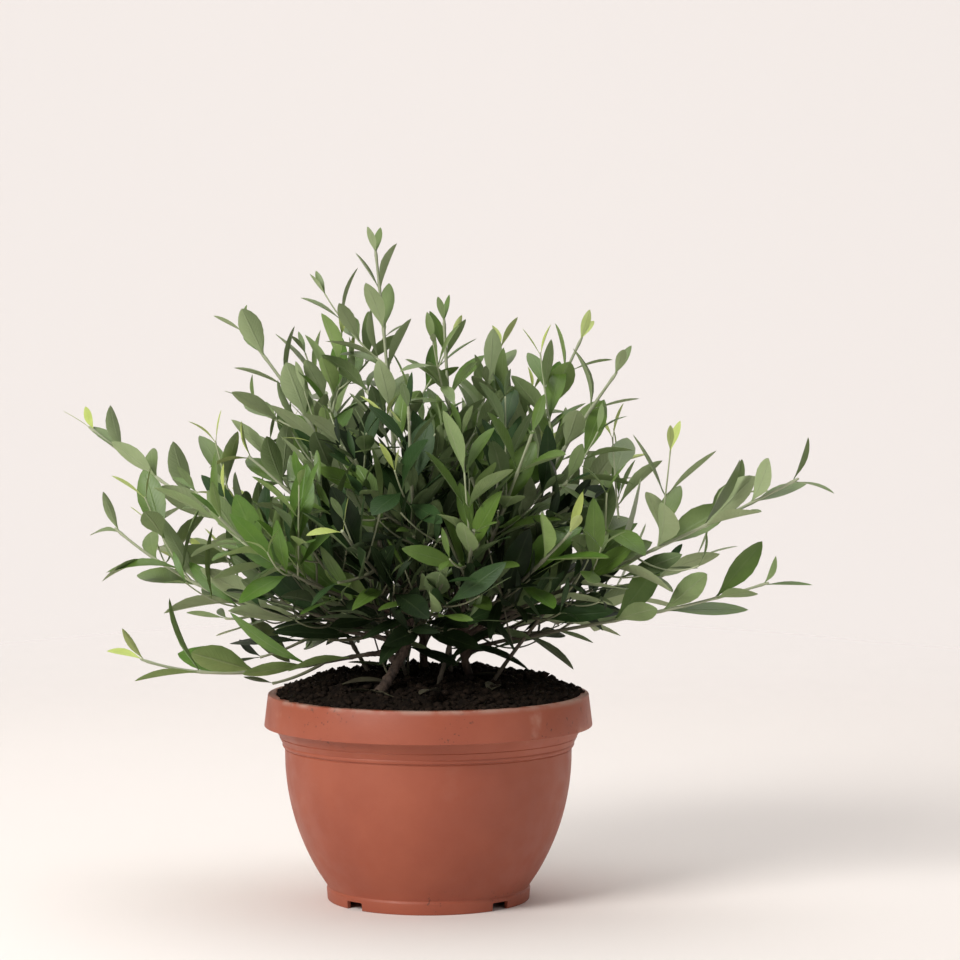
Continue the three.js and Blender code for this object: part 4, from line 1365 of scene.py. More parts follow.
@dataclass
class Crown:
    """The crown: it lays out the leaders, then grows every mass's twigs and leaves by the source's rule."""

    leaf_rule: LeafRule = LEAF_RULE
    twig_rule: TwigRule = TwigRule()
    finer_rule: FinerRule = FinerRule()
    rear: Pair = (50, 150)
    trunk_until: float = 283
    seat_depth: float = 1.2
    short_heel: float = 0.04
    steepest: float = 82
    leaving_angle: float = 52
    leaving_reach: float = 16
    leaving_middle: float = 0.55
    leaving_span: Pair = (0.3, 0.97)
    inner_offset: float = 4.8
    size_by_elevation: Pair = (1.14, 0.8)
    main_base: float = 1.5
    main_tip: float = 0.9
    main_steps: int = 5
    stem_steps: int = 6
    leafy_steps: int = 8
    bare_steps: int = 3
    half_width: float = 239.3
    half_depth: float = 130
    top: float = 426
    underside: float = 0.09
    cell_margin: float = 1.3
    limb_reach: float = 4.0
    soil_clearance: float = 3
    first_seed: int = 417
    seed_step: int = 31
    finer_seed: int = 9017
    leaf_places: tuple[Pair, ...] = (
        (0.25, 0), (0.5, 0), (0.75, 0), (1, 0), (0.25, 0.6), (0.25, -0.6), (0.48, 1), (0.48, -1), (0.72, 0.6),
        (0.72, -0.6),
    )

    def __post_init__(self) -> None:
        """Lays out stems and leaders and readies the lines that space is measured to."""
        self.soil = SoilHeap()
        self.stems = {name: self.stem_curve(stem) for name, stem in STEMS.items()}
        self.leaders = self.lay_out()
        self.finer: list[Shoot] = []
        self.suckers: list[Shoot] = []
        self.taken = TakenSpace()
        self.samples = np.array(self.leaf_places)
        leafy = [leader.curve.line(leader.bare_share, 1, self.leafy_steps) for leader in self.leaders]
        self.leafy = self.segments(leafy)
        self.owners = np.repeat(np.arange(len(leafy)), self.leafy_steps)
        heels = [(leader.curve, max(leader.bare_share, self.short_heel)) for leader in self.leaders]
        bare = [curve.line(0, share, self.bare_steps) for curve, share in heels]
        stems = [curve.line(0, 1, self.stem_steps) for curve in self.stems.values()]
        self.limbs = self.segments(bare + stems)

    @staticmethod
    def segments(lines: Sequence[Sequence[Vector]]) -> tuple[np.ndarray, np.ndarray]:
        """The starts and the spans of all the straight stretches of some lines."""
        points = [np.array(line) for line in lines]
        starts = np.concatenate([line[:-1] for line in points])
        return starts, np.concatenate([line[1:] for line in points]) - starts

    @staticmethod
    def distances(points: np.ndarray, segments: tuple[np.ndarray, np.ndarray]) -> np.ndarray:
        """The distance from each point to each stretch.

        Args:
            points: The points.
            segments: The starts and spans of the stretches.

        Returns:
            The distances, as (points, stretches).
        """
        starts, spans = segments
        offset = points[:, None] - starts[None]
        share = np.clip((offset * spans).sum(-1) / (spans * spans).sum(-1), 0, 1)
        return np.linalg.norm(offset - share[..., None] * spans, axis=-1)

    def stem_curve(self, stem: Stem) -> Bezier:
        """The curve that a stem follows, from its seat in the soil to its top."""
        foot = Vector((*stem.foot, self.soil.surface(*stem.foot) - self.seat_depth + GAP))
        return Bezier(foot, Vector(stem.knee), Vector(stem.top))

    def stem_of(self, leader: Leader) -> str:
        """The stem that a leader grows from: the one on its own side of the crown."""
        start, end = self.rear
        if start < leader.azimuth < end:
            return "stem_rear"
        return "trunk" if end <= leader.azimuth < self.trunk_until else "stem_right"

    def leader_curve(self, name: str, leader: Leader, stem: Bezier, share: float) -> Bezier:
        """The curve of a leader, rooted where the frame's own bough starts.

        Args:
            name: The leader's name.
            leader: Its sizes.
            stem: The curve of its stem.
            share: How far up the stem it leaves.

        Returns:
            The curve.
        """
        along = stem.direction(share)
        outward = squared(heading(leader.azimuth, 0), along)
        leaving = math.radians(self.leaving_angle)
        start = outward * math.sin(leaving) + along * math.cos(leaving)
        root = stem.at(share) + start * self.inner_offset
        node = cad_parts.get("bough_" + name)
        if node:
            corners = [vert.co / MM for vert in node.data.vertices]
            root = min(corners, key=lambda corner: (corner - root).length)
        tip = HUB + heading(leader.azimuth, leader.elevation) * leader.reach
        middle = root.lerp(tip, self.leaving_middle) + UP * leader.bow
        return Bezier(root, root + start * self.leaving_reach, middle, tip)

    def lay_out(self) -> list[GrownLeader]:
        """Every leader with its curve: low ones leave their stem low down, steep ones near its top."""
        made = {}
        for stem_name, stem in self.stems.items():
            own = [(name, plan) for name, plan in LEADERS.items() if self.stem_of(plan) == stem_name]
            own.sort(key=lambda item: item[1].elevation)
            for rank, (name, plan) in enumerate(own):
                share = lerp(*self.leaving_span, rank / (len(own) - 1))
                curve = self.leader_curve(name, plan, stem, share)
                length = curve.length()
                scale = lerp(*self.size_by_elevation, max(0, plan.elevation) / self.steepest)
                index = list(LEADERS).index(name)
                made[name] = GrownLeader(name, index, plan, curve, length, plan.bare / length, scale)
        return [made[name] for name in LEADERS]

    def has_room(self, leader: GrownLeader | None, points: np.ndarray, extra: float = 0) -> bool:
        """Whether points lie in the crown, clear of every bare limb, and in a leader's own space.

        Args:
            leader: The leader; None for finer growth, which shares the whole crown.
            points: The points.
            extra: A further clearance.

        Returns:
            True where they all do.
        """
        x, y, z = points.T
        if (np.abs(x) > self.half_width).any() or (np.abs(y) > self.half_depth).any():
            return False
        if (z > self.top).any():
            return False
        finer = self.finer_rule
        funnel = finer.lowest + finer.funnel_rise * np.maximum(0, np.hypot(x, y) - finer.funnel_foot)
        lowest = leader.plan.lowest if leader else funnel
        if (z < lowest - self.underside * y).any():
            return False
        for px, py, pz in points:
            over_pot = math.hypot(px, py) < RIM_RADIUS + self.soil_clearance
            if over_pot and pz < self.soil.surface(px, py) + self.soil_clearance:
                return False
        if self.distances(points, self.limbs).min() < self.limb_reach + extra:
            return False
        if leader is None:
            return True
        apart = self.distances(points, self.leafy)
        own = apart[:, self.owners == leader.index].min(1) + self.cell_margin + extra
        return bool((apart[:, self.owners != leader.index].min(1) > own).all())

    def place_leaf(
        self, root: Vector, tangent: Vector, roll: float, angle: float, length: float, light: float
    ) -> Leaf:
        """One leaf, turned up to the light.

        Args:
            root: Where it grows.
            tangent: The direction of its shoot there.
            roll: How far round the shoot it stands.
            angle: How far it stands off the shoot.
            length: Its length.
            light: How strongly it turns up.

        Returns:
            The leaf.
        """
        side = sideways(tangent, roll)
        along = (tangent * math.cos(angle) + side * math.sin(angle) + UP * light).normalized()
        return Leaf(root, along, squared(tangent + UP * self.leaf_rule.face_up, along), length)

    def grow_leaves(
        self, leader: GrownLeader | None, shoot: Shoot, lines: list[np.ndarray], scale: float,
        random: SeededRandom, light_turn: Pair | None = None,
    ) -> None:
        """Grows the leaves of one shoot, in opposite pairs each turned a quarter from the one before.

        Args:
            leader: The leader whose space the leaves keep to; None for finer growth.
            shoot: The shoot.
            lines: The other shoots' lines, which no leaf crosses.
            scale: The leaves' size.
            random: Where the rule's numbers come from.
            light_turn: How far the leaves hang or turn up, least and most; None for the rule's own.
        """
        rule = self.leaf_rule
        edges = [np.stack([line[:-1], line[1:]], axis=1) for line in lines]
        others = np.concatenate(edges) if edges else np.zeros((0, 2, 3))
        pairs = max(1, math.floor((shoot.length - rule.foot) / (rule.spacing * scale)))
        start_roll = random() * math.pi
        for pair in range(pairs + 1):
            share = (pair + 0.5) / (pairs + 0.5)
            at_tip = pair == pairs
            root = shoot.at(rule.tip_at if at_tip else share)
            tangent = shoot.direction(min(share, rule.tip_at))
            for side in (0, 1):
                length = rule.size(share, scale, random) * (rule.tip_size if at_tip else 1)
                light = random.between(*(light_turn or rule.light_turn))
                spread = lerp(rule.base_angle, rule.tip_angle, share)
                angle = math.radians(spread + rule.angle_scatter * (2 * random() - 1))
                roll = start_roll + pair * QUARTER_TURN + side * math.pi
                roll += rule.roll_scatter * (2 * random() - 1)
                for attempt in range(TRIES):
                    turn = (-1 if attempt % 2 else 1) * rule.retry_turn * math.ceil(attempt / 2)
                    opening = angle * (1 - rule.retry_narrower * attempt)
                    leaf = self.place_leaf(root, tangent, roll + turn, opening, length, light)
                    if self.fits(leader, leaf, others):
                        shoot.leaves.append(leaf)
                        break

    def fits(self, leader: GrownLeader | None, leaf: Leaf, edges: np.ndarray) -> bool:
        """Whether a leaf has room and crosses nothing; where it does, its outline is taken.

        Args:
            leader: The leader whose space it keeps to; None for finer growth.
            leaf: The leaf.
            edges: The stretches of other shoots.

        Returns:
            True where it fits.
        """
        outline = self.taken.outline(leaf)
        if not self.has_room(leader, leaf_points(leaf, self.samples)):
            return False
        if len(edges) and strikes(edges, outline[self.taken.FACES]):
            return False
        if self.taken.meets(outline, leaf.length):
            return False
        self.taken.take(outline, leaf.length)
        return True

    def grow_twigs(self, leader: GrownLeader, shoot: Shoot, random: SeededRandom) -> list[Shoot]:
        """The side twigs of a leader, each on the next side round, skipped where it has no room."""
        rule = self.twig_rule
        twigs = []
        for i in range(leader.plan.twigs):
            share = rule.first + (rule.last - rule.first) * (i + rule.scatter * random()) / leader.plan.twigs
            root, tangent = shoot.at(share), shoot.direction(share)
            first_roll = i * rule.turn + random() * rule.turn * rule.scatter
            length = max(rule.shortest, leader.length * rule.share * (1 - share / 2))
            for attempt in range(TRIES):
                roll = first_roll + attempt * QUARTER_TURN
                angle = math.radians(rule.angle * (1 - self.leaf_rule.retry_narrower * attempt))
                curve = self.twig_curve(root, tangent, roll, angle, length, rule.lift)
                line = np.array([curve.at(at) for at in rule.tested_at])
                if self.has_room(leader, line, rule.base):
                    twigs.append(Shoot(curve, 0, rule.steps, rule.base, rule.tip, Rank.TWIG))
                    break
        return twigs

    @staticmethod
    def twig_curve(
        root: Vector, tangent: Vector, roll: float, angle: float, length: float, lift: float
    ) -> Bezier:
        """The curve of a side twig that leaves its parent at an angle and lifts towards its tip."""
        along = tangent * math.cos(angle) + sideways(tangent, roll) * math.sin(angle)
        return Bezier(root, root + along * (length / 2), root + along * length + UP * (lift * length))

    def main_shoot(self, curve: Bezier, start: float = 0, steps: int | None = None) -> Shoot:
        """A shoot along a leader, a stem or a sucker, from a share of its curve on."""
        return Shoot(curve, start, steps or self.main_steps, self.main_base, self.main_tip, Rank.MAIN)

    def grow_mass(self, leader: GrownLeader) -> None:
        """Grows one mass as the frame's solid has it: the leafy shoot, its side twigs and their leaves."""
        random = SeededRandom(self.first_seed + self.seed_step * leader.index)
        main = self.main_shoot(leader.curve, leader.bare_share)
        leader.shoots = [main, *self.grow_twigs(leader, main, random)]
        for shoot in leader.shoots:
            lines = [other.line for other in leader.shoots if other is not shoot]
            self.grow_leaves(leader, shoot, lines, leader.leaf_scale, random)

    def finer_twig(self, root: Vector, tangent: Vector, first_roll: float, length: float) -> Shoot | None:
        """A finer twig on the first side round where it has room and cuts no leaf.

        Args:
            root: Where it grows.
            tangent: The direction of its parent there.
            first_roll: The side that is tried first.
            length: Its length.

        Returns:
            The twig, or None where no side has room.
        """
        rule = self.finer_rule
        for attempt in range(rule.tries):
            roll = first_roll + attempt * rule.roll_step
            curve = self.twig_curve(root, tangent, roll, math.radians(rule.angle), length, rule.lift)
            line = np.array([curve.at(at) for at in rule.tested_at])
            if self.has_room(None, line, rule.clearance) and not self.taken.cut_by(line):
                return Shoot(curve, 0, rule.steps, rule.base, rule.tip, Rank.FINER)
        return None

    def grow_finer(
        self, limb: Shoot, reach: float, plan: Leader | None, scale: float, random: SeededRandom
    ) -> None:
        """Carries a limb on to finer twigs, each tested as the rule tests the others.

        Args:
            limb: The limb that carries them.
            reach: How far along the limb they grow.
            plan: The leader's sizes; None for a stem or a sucker.
            scale: The leaves' size.
            random: Where the rule's numbers come from.
        """
        rule = self.finer_rule
        count = int(reach / rule.spacing)
        for i in range(count):
            share = lerp(rule.first, rule.last, (i + random()) / count) * reach / limb.length
            root = limb.at(share)
            first_roll = (i + random()) * rule.turn
            length = random.between(*(rule.main_length if limb.rank is Rank.MAIN else rule.twig_length))
            if random() > rule.chance(plan, root):
                continue
            twig = self.finer_twig(root, limb.direction(share), first_roll, length)
            if twig is None:
                continue
            hanging = None if plan else rule.hanging
            self.grow_leaves(None, twig, [limb.line], rule.leaf_scale * scale, random, hanging)
            if twig.leaves:
                self.finer.append(twig)

    def grow(self) -> None:
        """Grows every mass, then carries masses, boughs, stems and suckers on to finer twigs.

        The suckers and the stems go on with the last leader's row of numbers.
        """
        for leader in self.leaders:
            self.grow_mass(leader)
        first = self.taken.count
        for leader in self.leaders:
            random = SeededRandom(self.finer_seed + self.seed_step * leader.index)
            for shoot in leader.shoots:
                self.grow_finer(shoot, shoot.length, leader.plan, leader.leaf_scale, random)
            if leader.bare_share > 0:
                self.grow_finer(self.main_shoot(leader.curve), leader.plan.bare, leader.plan, 1, random)
        for sucker in SUCKERS:
            foot = Vector((*sucker.foot, self.soil.surface(*sucker.foot) - self.soil_clearance))
            shoot = self.main_shoot(Bezier(foot, Vector(sucker.knee), Vector(sucker.top)))
            self.grow_leaves(None, shoot, [], 1, random, self.finer_rule.hanging)
            self.grow_finer(shoot, shoot.length, None, 1, random)
            self.suckers.append(shoot)
        for curve in self.stems.values():
            stem = self.main_shoot(curve, steps=self.stem_steps)
            self.grow_finer(stem, stem.length, None, 1, random)
        log.info("leaves: %d as in the frame, %d more on finer twigs", first, self.taken.count - first)


# What the plant is made of: leaves, shoots and limbs.


@dataclass
class LeafTemplate:
    """The shape that all leaves share: a thin closed blade on a short stalk, narrow at its foot."""

    stations: tuple[float, ...] = (0, 0.08, 0.17, 0.29, 0.43, 0.58, 0.73, 0.86, 0.95, 1)
    stalk_share: float = 0.07
    stalk_width: float = 0.1
    tip_width: float = 0.03
    widest_late: float = 1.14
    fullness: Pair = (1.0, 0.7)
    thickness: float = 0.011
    narrow_below: float = 0.2
    stalk_thicker: float = 2.2
    sharp_above: float = 100

    def half_width(self, share: float) -> float:
        """The blade's half width at a share of its length, 1 at its widest."""
        if share <= self.stalk_share:
            return self.stalk_width
        inner = (share - self.stalk_share) / (1 - self.stalk_share)
        full = lerp(*self.fullness, inner)
        blade = math.sin(math.pi * inner**self.widest_late) ** full if inner < 1 else 0
        return max(lerp(self.stalk_width, self.tip_width, inner), blade)

    def __post_init__(self) -> None:
        """Shapes the blade from a grid: its upper and lower faces meet along the edge and part at the rib."""
        shape = bmesh.new()
        last = len(self.stations) - 1
        bmesh.ops.create_grid(shape, x_segments=last, y_segments=2, size=1)
        for vert in shape.verts:
            station = round((vert.co.x + 1) / 2 * last)
            side = round(vert.co.y)
            inner = side == 0 and 0 < station < last
            vert.co = (self.stations[station], side, 1 if inner else 0)
        copy = bmesh.ops.duplicate(shape, geom=shape.verts[:] + shape.edges[:] + shape.faces[:])["geom"]
        lower = [item for item in copy if isinstance(item, BMFace)]
        for vert in copy:
            if isinstance(vert, BMVert):
                vert.co.z *= -1
        bmesh.ops.reverse_faces(shape, faces=lower)
        for face in lower:
            face.material_index = 1
        bmesh.ops.remove_doubles(shape, verts=shape.verts, dist=1e-5)
        self.points = np.array([vert.co for vert in shape.verts])
        self.faces = np.array([[vert.index for vert in face.verts] for face in shape.faces])
        self.sides = np.array([face.material_index for face in shape.faces])
        shape.free()
        self.widths = np.array([self.half_width(share) for share in self.points[:, 0]])

    def shaped(self, leaf: Leaf) -> np.ndarray:
        """A leaf's points, in millimetres."""
        share, side, lift = self.points.T
        style = leaf.style
        half = leaf.length * style.width / 2 * self.widths * side
        twist = style.twist * share
        rise = leaf.length * (LEAF_RULE.arch * share - (LEAF_RULE.droop + style.curl) * share**2)
        rise = rise + np.abs(half) * style.fold + np.sin(twist) * half
        thick = np.where(self.widths < self.narrow_below, self.stalk_thicker, 1)
        rise = rise + lift * leaf.length * self.thickness / 2 * thick
        points = np.array(leaf.root)[None] + np.outer(leaf.length * share, np.array(leaf.along))
        points += np.outer(half * np.cos(twist), np.array(leaf.across))
        return points + np.outer(rise, np.array(leaf.normal))

    def joined(self, leaves: Sequence[Leaf]) -> Mesh:
        """Many leaves in one mesh, with each leaf's own UV map and its upper and lower faces told apart.

        Args:
            leaves: The leaves.

        Returns:
            The mesh.
        """
        mesh = joined_copies(np.array([self.shaped(leaf) for leaf in leaves]), self.faces)
        mesh.polygons.foreach_set("material_index", np.tile(self.sides, len(leaves)).astype(np.int32))
        corners = self.points[self.faces.ravel()]
        places = np.stack([corners[:, 0], corners[:, 1] / 2 + 0.5], axis=1)
        mesh.uv_layers.new(name=LEAF_MAP).data.foreach_set("uv", np.tile(places, (len(leaves), 1)).ravel())
        return smoothed(mesh, self.sharp_above)


@dataclass
class Foliage:
    """The leaves and the leafy shoots of a grown crown."""

    crown: Crown
    leaf: LeafTemplate
    style_seed: int = 77
    tender_share: float = 0.4
    tender_beyond: float = 140
    tip_longer: float = 1.45
    tip_slimmer: float = 0.7
    tip_within: float = 1
    widths: Pair = (0.26, 0.4)
    finer_widths: Pair = (0.2, 0.35)
    outer_wider: float = 0.04
    slim_below: Pair = (155, 215)
    low_slimmer: float = 0.68
    folds: Pair = (0.05, 0.5)
    curl: float = 0.22
    curl_back: float = 0.06
    twists: Pair = (-0.35, 0.35)
    # The heart and the tint deal below paint shade into the bush's middle and light onto its outside, on top
    # of the leaves' own age.
    heart: Vector = field(default_factory=lambda: Vector((4, -30, 168)))
    heart_reach: float = 200
    depth_stretch: float = 1.45
    main_tinted_at: float = 0.8
    twig_tinted_at: float = 0.6
    tint_scatter: float = 0.5
    tint_gain: float = 0.95
    tint_from: float = 0.45
    tint_limits: tuple[tuple[Tint, float], ...] = (
        (Tint.DARK, 0.2), (Tint.DEEP, 0.36), (Tint.GREEN, 0.55), (Tint.FRESH, 0.64),
    )
    line_step: float = 3.5
    fewest_steps: int = 4
    node_swell: float = 1.28
    blunt_tip: float = 0.75

    def tint_for(self, outward: float, random: SeededRandom) -> Tint:
        """The tint that a spray is dealt: dark in the bush's heart, lighter towards its outside; partly the
        leaves' age, partly painted shade in the heart and painted light outside.

        Args:
            outward: How far out the spray stands, 0 in the heart and about 1 outside.
            random: Where the deal's numbers come from.

        Returns:
            The tint.
        """
        chance = random() * self.tint_scatter + self.tint_gain * (outward - self.tint_from)
        for tint, limit in self.tint_limits:
            if chance < limit:
                return tint
        return Tint.GREY

    def dress(self) -> dict[Tint, list[Leaf]]:
        """Gives every leaf its style and sorts the leaves by the tint of their spray."""
        random = SeededRandom(self.style_seed)
        dealt: dict[Tint, list[Leaf]] = {tint: [] for tint in Tint}
        slim, full = self.slim_below
        for shoot in self.shoots():
            share = self.main_tinted_at if shoot.rank is Rank.MAIN else self.twig_tinted_at
            x, y, z = shoot.at(share) - self.heart
            outward = math.hypot(x, self.depth_stretch * y, z) / self.heart_reach
            # The tint by distance from the heart: painted shade inside the bush, painted light outside,
            # partly also the leaves' age.
            tint = self.tint_for(outward, random)
            outer = (shoot.at(1) - HUB).length > self.tender_beyond
            tender = outer and random() < self.tender_share
            tip = shoot.at(LEAF_RULE.tip_at)
            for leaf in shoot.leaves:
                low = unit((full - leaf.root.z) / (full - slim))
                width = random.between(*(self.finer_widths if shoot.rank is Rank.FINER else self.widths))
                width = width * lerp(1, self.low_slimmer, low) + self.outer_wider * min(1, outward)
                leaf.style = self.style(random, width)
                at_tip = (leaf.root - tip).length < self.tip_within
                if at_tip:
                    leaf.length *= self.tip_longer
                    leaf.style = replace(leaf.style, width=self.tip_slimmer * leaf.style.width)
                leaf.tint = Tint.TENDER if tender and at_tip else tint
                dealt[leaf.tint].append(leaf)
        return dealt

    def shoots(self) -> list[Shoot]:
        """Every leafy shoot of the crown."""
        grown = [shoot for leader in self.crown.leaders for shoot in leader.shoots]
        return [*grown, *self.crown.finer, *self.crown.suckers]

    def style(self, random: SeededRandom, width: float) -> Style:
        """A leaf's own shape.

        Args:
            random: Where the shape's numbers come from.
            width: Its width, as a share of its length.

        Returns:
            The shape.
        """
        curl = random()
        return Style(
            width=width,
            fold=random.between(*self.folds),
            curl=self.curl * curl - self.curl_back + self.curl * curl**6,
            twist=random.between(*self.twists),
        )

    def shoot_line(self, shoot: Shoot) -> tuple[list[Vector], list[float]]:
        """A shoot's points and radii, swollen where its leaves grow; a twig ends at its last leaf."""
        steps = max(self.fewest_steps, int(shoot.length / self.line_step))
        points = [shoot.at(i / steps) for i in range(steps + 1)]
        radii = [shoot.radius(i / steps) for i in range(steps + 1)]
        radii[-1] *= self.blunt_tip
        last = 0
        for leaf in shoot.leaves:
            nearest = min(range(steps + 1), key=lambda i: (points[i] - leaf.root).length)
            radii[nearest] = shoot.radius(nearest / steps) * self.node_swell
            last = max(last, nearest)
        if last and shoot.rank is not Rank.MAIN:
            return points[: last + 1], radii[: last + 1]
        return points, radii

    def build(self) -> list[Object]:
        """Builds and dresses the shoots and the leaves.

        Returns:
            The pieces.
        """
        masses = ["leaves_" + leader.name for leader in self.crown.leaders]
        pieces = []
        kinds = (
            ("woody_shoots", WOODY_SHOOT, (Rank.MAIN,)),
            ("green_shoots", GREEN_SHOOT, (Rank.TWIG, Rank.FINER)),
        )
        for name, finish, ranks in kinds:
            shoots = [shoot for shoot in self.shoots() if shoot.rank in ranks]
            mesh = tubes([self.shoot_line(shoot) for shoot in shoots], roundness=1)
            pieces.append(place_piece(mesh, name, Slot.FOLIAGE, [finish.material()], masses))
        for tint, leaves in self.dress().items():
            mesh, name = self.leaf.joined(leaves), f"leaves_{tint.value}"
            pieces.append(place_piece(mesh, name, Slot.FOLIAGE, leaf_materials(tint), masses))
        return pieces


@dataclass
class Limbs:
    """The stems and boughs, fused in one bark with its relief. Millimetres."""

    crown: Crown
    sunk: float = 7
    stem_steps: int = 34
    flare_height: float = 9
    flare_share: float = 0.3
    flare_power: float = 1.5
    bough_base: float = 2.1
    bough_tip: float = 1.6
    bough_steps: int = 14
    root_depth: float = 4.5
    root_flare: float = 0.5
    into_mass: float = 4
    voxel: float = 0.55
    fissure: float = 0.4
    fissure_size: Pair = (1.9, 6)
    fissure_gain: float = 2
    fissure_from: float = 0.5
    knot: float = 0.75
    knot_size: Pair = (3.4, 4.5)
    knot_gain: float = 2.4
    knot_from: float = 0.15
    thinner: float = 0.76

    def stem_line(self, stem: Stem, curve: Bezier) -> tuple[list[Vector], list[float]]:
        """A stem's points and radii, from below the soil's surface up to its top."""
        foot = curve.at(0)
        points = [foot - curve.direction(0) * self.sunk]
        radii = [self.thinner * stem.base + self.flare_share * stem.flare]
        for i in range(self.stem_steps + 1):
            share = i / self.stem_steps
            point = curve.at(share)
            near_foot = max(0, 1 - (point.z - foot.z) / self.flare_height)
            flare = self.flare_share * stem.flare * near_foot**self.flare_power
            points.append(point)
            radii.append(self.thinner * lerp(stem.base, stem.tip, share) + flare)
        return points, radii

    def bough_line(self, leader: GrownLeader) -> tuple[list[Vector], list[float]]:
        """A bough's points and radii, from inside its stem to a little way into its mass."""
        inside = leader.curve.at(0) - leader.curve.direction(0) * self.root_depth
        steps = self.bough_steps
        end = leader.bare_share + self.into_mass / leader.length
        radii = [lerp(self.bough_base, self.bough_tip, i / steps) for i in range(steps + 1)]
        return [inside, *leader.curve.line(0, end, steps)], [self.bough_base + self.root_flare, *radii]

    def relief(self, mesh: Mesh) -> None:
        """Gives the bark its long fissures and small knots."""
        count = len(mesh.vertices)
        places, normals = np.zeros(3 * count), np.zeros(3 * count)
        mesh.vertices.foreach_get("co", places)
        mesh.vertex_normals.foreach_get("vector", normals)
        places, normals = places.reshape(-1, 3), normals.reshape(-1, 3)
        lifts = np.zeros(count)
        wide, tall = self.fissure_size
        broad, high = self.knot_size
        for i, (x, y, z) in enumerate((places / MM).tolist()):
            fissures = abs(noise.noise((x / wide, y / wide, z / tall)))
            fissures = fissures * self.fissure_gain - self.fissure_from
            knots = max(0.0, noise.noise((x / broad, y / broad, z / high)) - self.knot_from)
            knots = knots * self.knot_gain
            lifts[i] = self.knot * knots - self.fissure * fissures
        mesh.vertices.foreach_set("co", (places + normals * lifts[:, None] * MM).ravel())
        mesh.update()

    def build(self) -> Object:
        """Builds and dresses the limbs.

        Returns:
            Their piece.
        """
        bare = [leader for leader in self.crown.leaders if leader.bare_share > 0]
        lines = [self.stem_line(STEMS[name], curve) for name, curve in self.crown.stems.items()]
        lines += [self.bough_line(leader) for leader in bare]
        steps = [
            ("REMESH", {"mode": "VOXEL", "voxel_size": self.voxel * MM}),
            ("SMOOTH", {"factor": 0.5, "iterations": 2}),
        ]
        fused = applied(tubes(lines, roundness=4), steps)
        self.relief(fused)
        fused.shade_smooth()
        nodes = [*STEMS, *("bough_" + leader.name for leader in bare)]
        return place_piece(fused, "stems_and_boughs", Slot.BARK, [YOUNG_BARK.material()], nodes)


# The studio.


@dataclass(frozen=True)
class Lamp:
    """A square soft light that faces the plant, or another place. Metres and watts."""

    name: str
    place: Point
    size: float
    watts: float
    colour: Colour
    aim: Point = (0, 0, 0.22)

    def build(self) -> None:
        """Hangs the light."""
        light = bpy.data.lights.new(self.name, "AREA")
        light.size = self.size
        light.energy = self.watts
        light.color = self.colour
        aim_from(linked(self.name, light), self.place, self.aim)


LAMPS = (
    Lamp("key_light", (-1.55, -1.7, 1.6), 1.1, 62, (1.0, 0.985, 0.955)),
    Lamp("wall_light", (0.0, 0.6, 3.0), 2.4, 13.5, (1.0, 0.995, 0.99), (0.0, 2.6, 0.9)),
    Lamp("top_light", (0.0, 0.6, 2.9), 3.0, 40, (1.0, 0.995, 0.985)),
    Lamp("fill_light", (1.9, -1.4, 0.9), 1.4, 6, (0.97, 0.985, 1.0)),
)


def aim_from(held: Object, place: Point, aim: Point) -> None:
    """Sets a lamp or a camera at a place and turns it to another."""
    held.location = place
    held.rotation_euler = (Vector(aim) - Vector(place)).to_track_quat("-Z", "Y").to_euler()


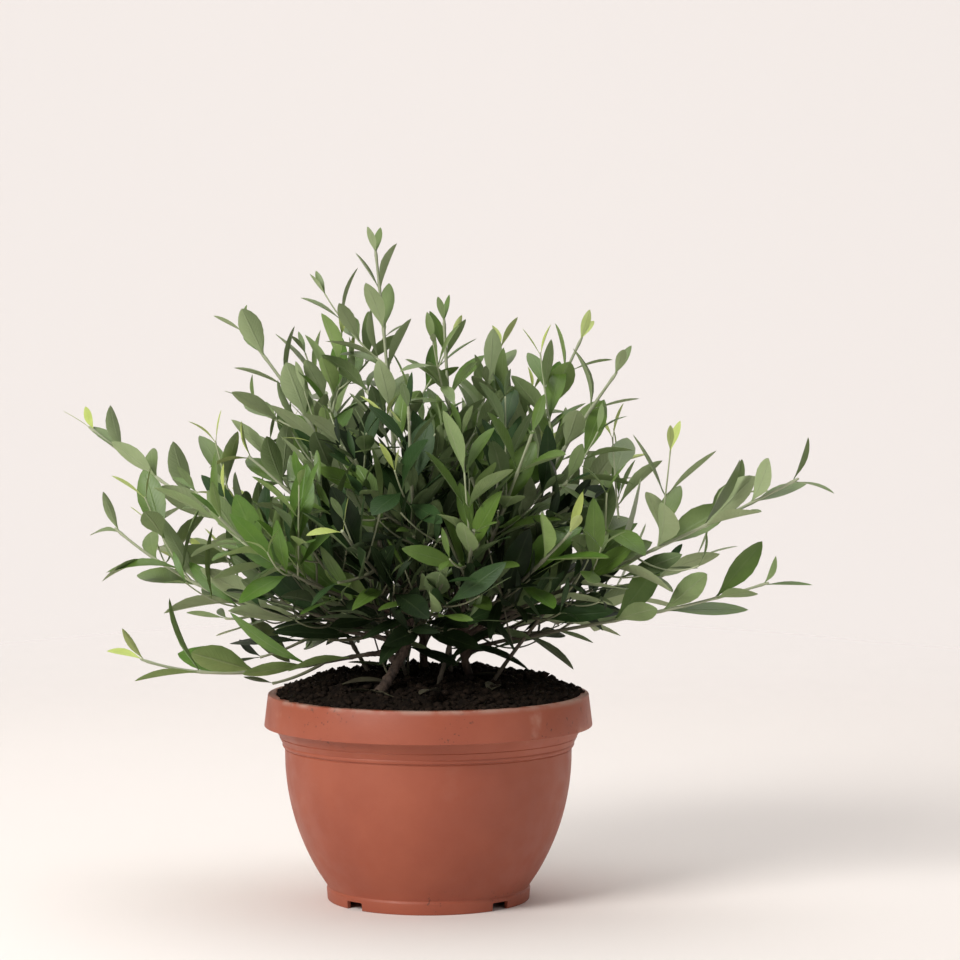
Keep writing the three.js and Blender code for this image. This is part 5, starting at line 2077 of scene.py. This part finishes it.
@dataclass
class Studio:
    """A pale floor that sweeps up behind the plant, the air and the camera. Metres."""

    floor_colour: Colour = (0.87, 0.82, 0.79)
    backdrop: Colour = (0.913, 0.847, 0.815)
    backdrop_from: Pair = (0.75, 1.7)
    backdrop_alone: Pair = (3.6, 8)
    backdrop_share: float = 0.8
    sweep_radius: float = 1.2
    sweep_start: float = 1.2
    sweep_steps: int = 16
    half_width: float = 9
    front: float = -9
    wall_height: float = 4
    camera_at: Point = (0.033, -2.0, 0.363)
    aimed_at: Point = (0.033, 0, 0.268)
    lens: float = 117.7
    sensor_width: float = 36
    air_colour: Colour = (0.95, 0.94, 0.93)
    air_strength: float = 0.22

    def floor(self) -> None:
        """The floor and the wall behind it, as one smooth sheet that is only seen from the plant's side.

        Far from the plant the sheet gives way to the plain backdrop, so every view has a pale ground.
        """
        radius = self.sweep_radius
        section = [(self.front, 0.0)]
        for i in range(self.sweep_steps + 1):
            turn = math.radians(90 * i / self.sweep_steps)
            section.append((self.sweep_start + radius * math.sin(turn), radius * (1 - math.cos(turn))))
        section.append((self.sweep_start + radius, self.wall_height))
        shape = bmesh.new()
        verts = [shape.verts.new((-self.half_width, y, z)) for y, z in section]
        edges = [shape.edges.new(pair) for pair in zip(verts, verts[1:])]
        moved = bmesh.ops.extrude_edge_only(shape, edges=edges)["geom"]
        corners = [item for item in moved if isinstance(item, BMVert)]
        bmesh.ops.translate(shape, vec=(2 * self.half_width, 0, 0), verts=corners)
        shape.normal_update()
        if next(iter(shape.faces)).normal.z < 0:
            bmesh.ops.reverse_faces(shape, faces=shape.faces)
        sheet = linked("studio_floor", smoothed(mesh_from(shape), sharp_above=60))
        sheet.data.materials.append(self.paper())

    def paper(self) -> Material:
        """The floor's paper, which shows nothing from behind and gives way to the backdrop far out."""
        colour = self.floor_colour
        finish = Finish("studio_paper", colour, colour, roughness=0.9, relief=0.02, specular=0.1)
        paper, graph, _, shader = finish.start()
        behind = graph.add("ShaderNodeNewGeometry").outputs["Backfacing"]
        far = graph.add("ShaderNodeVectorMath", {0: graph.place()}, operation="LENGTH").outputs["Value"]
        seen = graph.add("ShaderNodeLightPath").outputs["Is Camera Ray"]
        near = graph.ramp(far, *self.backdrop_from, 0, self.backdrop_share)
        share = graph.math("ADD", near, graph.ramp(far, *self.backdrop_alone, 0, 1 - self.backdrop_share))
        faded = graph.math("MULTIPLY", share, seen)
        graph.feed(shader, "Alpha", graph.math("SUBTRACT", 1.0, graph.math("MAXIMUM", behind, faded)))
        return paper

    def camera(self) -> None:
        """The camera at the photograph's viewing angle."""
        data = bpy.data.cameras.new("camera")
        data.lens = self.lens
        data.sensor_width = self.sensor_width
        camera = linked("camera", data)
        aim_from(camera, self.camera_at, self.aimed_at)
        bpy.context.scene.camera = camera

    def world(self) -> None:
        """The soft air that lights the plant, with the plain backdrop where the camera looks into it."""
        world = bpy.data.worlds.new("studio_air")
        world.use_nodes = True
        graph = Graph(world.node_tree)
        air = {"Color": self.air_colour, "Strength": self.air_strength}
        lit = graph.add("ShaderNodeBackground", air).outputs[0]
        backdrop = graph.add("ShaderNodeBackground", {"Color": self.backdrop}).outputs[0]
        seen = graph.add("ShaderNodeLightPath").outputs["Is Camera Ray"]
        mixed = graph.add("ShaderNodeMixShader", {0: seen, 1: lit, 2: backdrop}).outputs[0]
        graph.add("ShaderNodeOutputWorld", {"Surface": mixed})
        bpy.context.scene.world = world
        bpy.context.scene.view_settings.view_transform = "Standard"

    def build(self) -> None:
        """Sets up the floor, the lights, the air and the camera."""
        self.floor()
        for lamp in LAMPS:
            lamp.build()
        self.world()
        self.camera()


def write_sizes() -> None:
    """Brings the view layer up to date."""
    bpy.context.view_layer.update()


def main() -> None:
    """Builds the plant, its pot and its soil, and the studio around them."""
    logging.basicConfig(level=logging.INFO, format="%(name)s: %(message)s")
    leaf = LeafTemplate()
    crown = Crown()
    crown.grow()
    BowlPot().build()
    SoilHeap().build(leaf)
    Limbs(crown).build()
    Foliage(crown, leaf).build()
    Studio().build()
    write_sizes()


if __name__ == "__main__":
    main()
